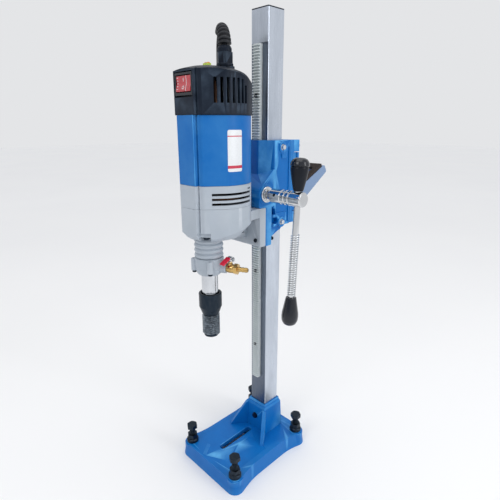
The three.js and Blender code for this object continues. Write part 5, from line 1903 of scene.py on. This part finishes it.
    def build_adapter(self, maker: Maker) -> None:
        """Builds the black adapter with its cup, its flats and the coarse male thread."""
        at = (0, self.y)
        outline = [
            (6, 302), (12.6, 302), (13.3, 303.6), (13.5, 344.6), (15.4, 346.2), (18.8, 355.5), (20.3, 359.4),
            (20.4, 384), (19.4, 385), (16.8, 385), (16.0, 384.2), (16.0, 376.6), (8.1, 376.6), (8.1, 358),
            (6, 358)
        ]
        cup = Shape.turned(soften(outline, 0.5, True, 3), Axis.Z, at, 80)
        for turn in (60, 240):
            cup.cut(Shape.box((-30, -40, 353), (30, -17.4, 376)).rotated(turn).moved((0, self.y, 0)))
        ridge = [(13.2, 0.25), (15.6, 1.55), (15.88, 1.9), (15.6, 2.25), (13.2, 3.4)]
        thread = Shape.coil(ridge, 3.63, 10.6, 304.0, at, 48)
        maker.piece("adapter_cup", cup, Coat.BLACK_OXIDE, ["thread_adapter"])
        maker.piece("adapter_thread", thread, Coat.THREAD)


# ---- Cord ----


@dataclass
class CordSet:
    """The mains cord: its gland, its bend relief, its free run, the hanging coil and the plug."""

    exit_y: float = -98.7
    gland_base: float = 758.0
    gland_top: float = 787.5
    diameter: float = 8.0
    length: float = 2500.0
    arch_radius: float = 31.0
    arch_base: float = 786.0
    heading: Place = (-0.85, 0.527, 0.0)
    coil_x: float = -74.0
    coil_y: float = -43.5
    coil_z: float = 525.2
    coil_mean: float = 47.0
    outer_turns: float = 3.0
    outer_steps: int = 48
    inner_turns: float = 3.4
    inner_steps: int = 56
    layer_change: int = 4

    def arch(self, angle: float) -> Place:
        """A point on the half-round arch above the cap.

        Args:
            angle: the angle from the gland, in radians.

        Returns:
            The point.
        """
        along = self.arch_radius * (1 - math.cos(angle))
        rise = self.arch_base + self.arch_radius * math.sin(angle)
        return (self.heading[0] * along, self.exit_y + self.heading[1] * along, rise)

    def free_run(self) -> list[Place]:
        """The route from the gland over the arch down to the coil."""
        rise = [(0.0, self.exit_y, self.gland_base + 4), (0.0, self.exit_y, self.gland_base + 16)]
        arch = [self.arch(k * math.pi / 8) for k in range(9)]
        fall = [(-53.5, -66, 755), (-56, -68, 715), (-62, -74, 670), (-71, -82, 625), (-80.5, -90, 588)]
        return [*rise, *arch, *fall]

    def coiled(self) -> list[Place]:
        """The coil, wound in two layers: the outer turns one way along X, then the inner turns back."""
        across, outer, inner = self.diameter, self.coil_mean + self.diameter / 2, self.coil_mean - self.diameter / 2
        first, last = self.coil_x - 1.5 * across, self.coil_x + 1.5 * across
        made: list[Place] = []
        for k in range(1, self.outer_steps + 1):
            x = first + (last - first) * k / self.outer_steps
            angle = math.pi + k / self.outer_steps * self.outer_turns * math.tau
            made.append((x, self.coil_y + outer * math.cos(angle), self.coil_z + outer * math.sin(angle)))
        for k in range(self.layer_change, self.inner_steps + 1):
            t = k / self.inner_steps
            x = last + (first - last) * t
            angle = math.pi + t * self.inner_turns * math.tau
            made.append((x, self.coil_y + inner * math.cos(angle), self.coil_z + inner * math.sin(angle)))
        return made

    def tail(self) -> list[Place]:
        """The end of the cord: out of the coil, over a wide bend and down into the plug."""
        return [
            (-92.5, -2.0, 541), (-97, -4.5, 562), (-103, -20, 577), (-109, -42, 571), (-111.8, -54, 552),
            (-112, -56.5, 534), (-112, -56.5, 520)
        ]

    def smooth(self, points: Sequence[Place], steps: int = 8) -> list[Place]:
        """A curve through points, which eases from each to the next.

        Args:
            points: the points.
            steps: how many pieces lie between two of them.

        Returns:
            The finer points.
        """
        given = [Vector(p) for p in points]
        ends = [given[0] * 2 - given[1], *given, given[-1] * 2 - given[-2]]
        made: list[Place] = []
        for a, b, c, d in zip(ends, ends[1:], ends[2:], ends[3:]):
            spans = [max(1e-6, (q - p).length ** 0.5) for p, q in ((a, b), (b, c), (c, d))]
            leave = ((b - a) / spans[0] - (c - a) / (spans[0] + spans[1]) + (c - b) / spans[1]) * spans[1]
            arrive = ((c - b) / spans[1] - (d - b) / (spans[1] + spans[2]) + (d - c) / spans[2]) * spans[1]
            for k in range(steps):
                t = k / steps
                place = (
                    b * (2 * t**3 - 3 * t * t + 1)
                    + leave * (t**3 - 2 * t * t + t)
                    + c * (3 * t * t - 2 * t**3)
                    + arrive * (t**3 - t * t)
                )
                made.append(tuple(place))
        return [*made, tuple(given[-1])]

    def build(self) -> None:
        maker = Maker("carriage")
        route = self.smooth([*self.free_run(), *self.coiled(), *self.tail()], 6)
        length = sum((Vector(b) - Vector(a)).length for a, b in zip(route, route[1:]))
        LOG.info("the cord's route is %.0f mm long", length)
        data = bpy.data.curves.new("mains_cord", "CURVE")
        data.dimensions = "3D"
        data.bevel_depth = self.diameter / 2 * MM
        data.bevel_resolution = 5
        data.use_fill_caps = True
        line = data.splines.new("POLY")
        line.points.add(len(route) - 1)
        for point, place in zip(line.points, route):
            point.co = (*(v * MM for v in place), 1)
        line.use_smooth = True
        cord = bpy.data.objects.new("mains_cord", data)
        bpy.context.scene.collection.objects.link(cord)
        data.materials.append(Coat.RUBBER.material())
        maker.ride(cord, Coat.RUBBER, ["power_cord", "cord_coil"])
        boot, plug, tie = self.build_boot(maker), self.build_plug(maker), self.build_tie(maker)
        self.build_gland(maker)

    def build_boot(self, maker: Maker) -> bpy.types.Object:
        """Builds the ribbed, tapered bend relief round the start of the arch.

        Args:
            maker: the maker of the carriage's pieces.

        Returns:
            The boot.
        """
        start = math.asin((self.gland_top + 1 - self.arch_base) / (self.arch_radius - 11))
        rings, steps, sides = [], 66, 28
        for k in range(steps + 1):
            t = k / steps
            angle = start + 1.9 * t
            centre = Vector(self.arch(angle))
            ahead = (Vector(self.arch(angle + 0.01)) - centre).normalized()
            flank = Vector((self.heading[1], -self.heading[0], 0))
            rise = ahead.cross(flank)
            phase = (t * 9.5) % 1.0
            groove = 0.0 if t < 0.06 or t > 0.96 else 2.2 * max(
                0.0, math.cos((phase - 0.5) * math.tau)
            ) ** 0.6
            reach = 11.0 - 3.2 * t - groove - (1.4 if k == steps else 0)
            rings.append(
                [
                    tuple(
                        centre + (
                            flank * math.cos(i * math.tau / sides) + rise * math.sin(i * math.tau / sides)
                        ) * reach
                    )
                    for i in range(sides)
                ]
            )
        boot = Shape.loft(rings)
        return maker.piece("bend_relief", boot, Coat.RUBBER, ["strain_boot"], smooth=60)

    def build_gland(self, maker: Maker) -> None:
        """Builds the gland: flange, hexagon and domed nut with fine flutes."""
        at = (0, self.exit_y)
        base, top = self.gland_base, self.gland_top
        foot = soften(
            [
                (4.9, base - 14), (7.8, base - 14), (7.8, base), (13.6, base), (13.6, base + 2.8),
                (12.8, base + 3.8), (4.9, base + 3.8)
            ],
            0.6, True, 3
        )
        body = Shape.turned(foot, Axis.Z, at, 64)
        body.join(
            Shape.hexagon(
                23, base + 3.4, top - 9.5, at=at, chamfer=0.06
            ).cut(Shape.rod(4.9, base, top, Axis.Z, at, 32))
        )
        dome = soften(
            [(4.9, top - 10), (11.3, top - 10), (11.3, top - 4), (9.4, top - 0.6), (8.4, top), (4.9, top)],
            1.2, True, 4
        )
        cap = Shape.turned(dome, Axis.Z, at, 64)
        flutes = [Shape.rod(0.9, top - 11, top + 2, Axis.Z, polar(11.9, 20 * k, at), 10) for k in range(18)]
        cap.cut(flutes[0].beside(*flutes[1:]))
        maker.piece("cable_gland", body.join(cap), Coat.BLACK_MOULDING, ["gland_nut"])

    def build_tie(self, maker: Maker) -> bpy.types.Object:
        """Builds the hook-and-loop strap round the coil's lowest stretch.

        Args:
            maker: the maker of the carriage's pieces.

        Returns:
            The tie.
        """
        reach, rise = 2 * self.diameter + 0.5, self.diameter + 0.6
        z = self.coil_z - self.coil_mean
        outer = soften(
            [
                (-reach - 1.6, z - rise - 1.6), (reach + 1.6, z - rise - 1.6), (reach + 1.6, z + rise + 2.6),
                (-reach - 1.6, z + rise + 2.6)
            ],
            5, True, 6
        )
        inner = soften(
            [(-reach, z - rise), (reach, z - rise), (reach, z + rise + 1), (-reach, z + rise + 1)], 4, True, 6
        )
        band = Shape.prism([(self.coil_x + u, v) for u, v in outer], self.coil_y - 8, self.coil_y + 8, Axis.Y)
        band.cut(
            Shape.prism([(self.coil_x + u, v) for u, v in inner], self.coil_y - 9, self.coil_y + 9, Axis.Y)
        ).bevel(0.4, 2, 40)
        return maker.piece("coil_strap", band, Coat.RUBBER, ["cord_tie"])

    def build_plug(self, maker: Maker) -> bpy.types.Object:
        """Builds the moulded plug with its finger grooves and two round pins.

        Args:
            maker: the maker of the carriage's pieces.

        Returns:
            The plug.
        """
        low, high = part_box("cord_plug")
        x, y, top = (low.x + high.x) / 2 / MM, (low.y + high.y) / 2 / MM, high.z / MM
        base = top - 66
        profile = [
            (0, base), (16.2, base), (17.5, base + 1.4), (17.5, base + 12), (16.4, base + 14),
            (16.4, base + 20), (17.4, base + 22), (17.4, base + 33), (13, base + 43), (8.4, base + 50)
        ]
        for k in range(4):
            z = base + 51 + 3.4 * k
            profile += [(6.4, z), (6.4, z + 1.0), (7.6 - 0.3 * k, z + 1.6), (7.6 - 0.3 * k, z + 2.8)]
        profile += [(5.4, top), (0, top)]
        body = Shape.turned(soften(profile, 0.6, steps=3), Axis.Z, (x, y), 56)
        plug = maker.piece("mains_plug", body, Coat.RUBBER, ["cord_plug"])
        pins = [
            Shape.turned(
                [(0, base - 19), (1.6, base - 19), (2.4, base - 17.8), (2.4, base + 1), (0, base + 1)],
                Axis.Z, (x, y + d), 24
            )
            for d in (-9.5, 9.5)
        ]
        pin = maker.piece("plug_pins", pins[0].beside(pins[1]), Coat.ZINC)
        pin.parent, pin.matrix_parent_inverse = plug, Matrix.Identity(4)
        return plug


# ---- Studio ----


@dataclass
class Studio:
    """The camera, the pale floor and the soft lights."""

    eye: Place = (533.8, -568.8, 667.6)
    azimuth: float = 45.45
    pitch: float = 16.80
    roll: float = -0.08
    lens: float = 29.67

    far_glow: float = 0.08

    def build_camera(self) -> None:
        """Places the camera at the rig's usual viewing angle."""
        data = bpy.data.cameras.new("camera")
        data.lens, data.sensor_width = self.lens, 36.0
        data.clip_start, data.clip_end = 0.02, 50.0
        camera = bpy.data.objects.new("camera", data)
        bpy.context.scene.collection.objects.link(camera)
        camera.location = [v * MM for v in self.eye]
        turn = Matrix.Rotation(math.radians(self.azimuth), 4, "Z") @ Matrix.Rotation(
            math.radians(90 - self.pitch), 4, "X"
        )
        camera.rotation_euler = (turn @ Matrix.Rotation(math.radians(self.roll), 4, "Z")).to_euler()
        bpy.context.scene.camera = camera

    def build_floor(self) -> None:
        """Lays the floor, a wide pale sheet."""
        mesh = bpy.data.meshes.new("floor")
        bm = bmesh.new()
        bmesh.ops.create_grid(bm, x_segments=2, y_segments=2, size=14)
        bm.to_mesh(mesh)
        bm.free()
        floor = bpy.data.objects.new("floor", mesh)
        bpy.context.scene.collection.objects.link(floor)
        sheet = Sheet("floor_paper")
        cloud = sheet.noise(sheet.coordinates(), 900, 2)
        far = sheet.add("VectorMath", Vector=sheet.coordinates())
        far.operation = "LENGTH"
        fade = sheet.span(far.outputs["Value"], 0, self.far_glow, 0.9, 3.6)
        sheet.set(
            Base_Color=sheet.mix(sheet.span(cloud, 0, 1), (0.92, 0.92, 0.92), (0.90, 0.90, 0.905)),
            Roughness=0.9
        )
        sheet.set(Emission_Color=(0.95, 0.97, 1.0), Emission_Strength=fade)
        mesh.materials.append(sheet.material)

    def build_light(
        self, name: str, place: Place, aim: Place, size: Point, power: float, colour: Rgb = (1, 1, 1)
    ) -> None:
        """Adds a soft rectangular light.

        Args:
            name: the light's name.
            place: where it stands, in metres.
            aim: the point that it faces, in metres.
            size: its width and height, in metres.
            power: its power in watts.
            colour: its colour.
        """
        data = bpy.data.lights.new(name, "AREA")
        data.shape, data.size, data.size_y = "RECTANGLE", *size
        data.energy, data.color = power, colour
        light = bpy.data.objects.new(name, data)
        bpy.context.scene.collection.objects.link(light)
        light.location = place
        light.rotation_euler = (Vector(aim) - Vector(place)).to_track_quat("-Z", "Y").to_euler()

    def build_lights(self) -> None:
        """Lights the rig from the front, the right and above, in a bright room."""
        scene = bpy.context.scene
        scene.view_settings.view_transform = "Standard"
        scene.view_settings.look = "None"
        world = bpy.data.worlds.new("room")
        world.use_nodes = True
        tree = world.node_tree
        place = tree.nodes.new("ShaderNodeTexCoord")
        parts = tree.nodes.new("ShaderNodeSeparateXYZ")
        fall = tree.nodes.new("ShaderNodeMapRange")
        tint = tree.nodes.new("ShaderNodeMix")
        tint.data_type = "RGBA"
        tint.inputs[6].default_value, tint.inputs[7].default_value = (
            0.35, 0.38, 0.44, 1
        ), (0.97, 0.98, 1.0, 1)
        fall.inputs["From Min"].default_value, fall.inputs["From Max"].default_value = -1.0, -0.6
        tree.links.new(place.outputs["Generated"], parts.inputs[0])
        tree.links.new(parts.outputs["Y"], fall.inputs[0])
        tree.links.new(fall.outputs[0], tint.inputs[0])
        tree.links.new(tint.outputs[2], tree.nodes["Background"].inputs[0])
        tree.nodes["Background"].inputs[1].default_value = 0.8
        scene.world = world
        self.build_light("key", (0.3, -2.1, 1.9), (0, -0.1, 0.5), (1.0, 1.0), 10)
        self.build_light("side", (2.1, 0.5, 1.2), (0, 0, 0.45), (0.7, 1.6), 12, (0.96, 0.98, 1.0))
        self.build_light("top", (0.1, 0.0, 2.6), (0, 0, 0.4), (1.6, 1.6), 12)


def main() -> None:
    """Builds the rig, sub-assembly by sub-assembly."""
    logging.basicConfig(level=logging.INFO, format="%(message)s")
    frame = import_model()
    studio = Studio()
    studio.build_camera()
    CordSet().build()
    Stand().build()
    Carriage().build()
    Crank().build()
    motor = Motor()
    motor.build()
    motor.dress_inside(frame["nodes"])
    WetEnd().build()
    studio.build_floor()
    studio.build_lights()


if __name__ == "__main__":
    main()
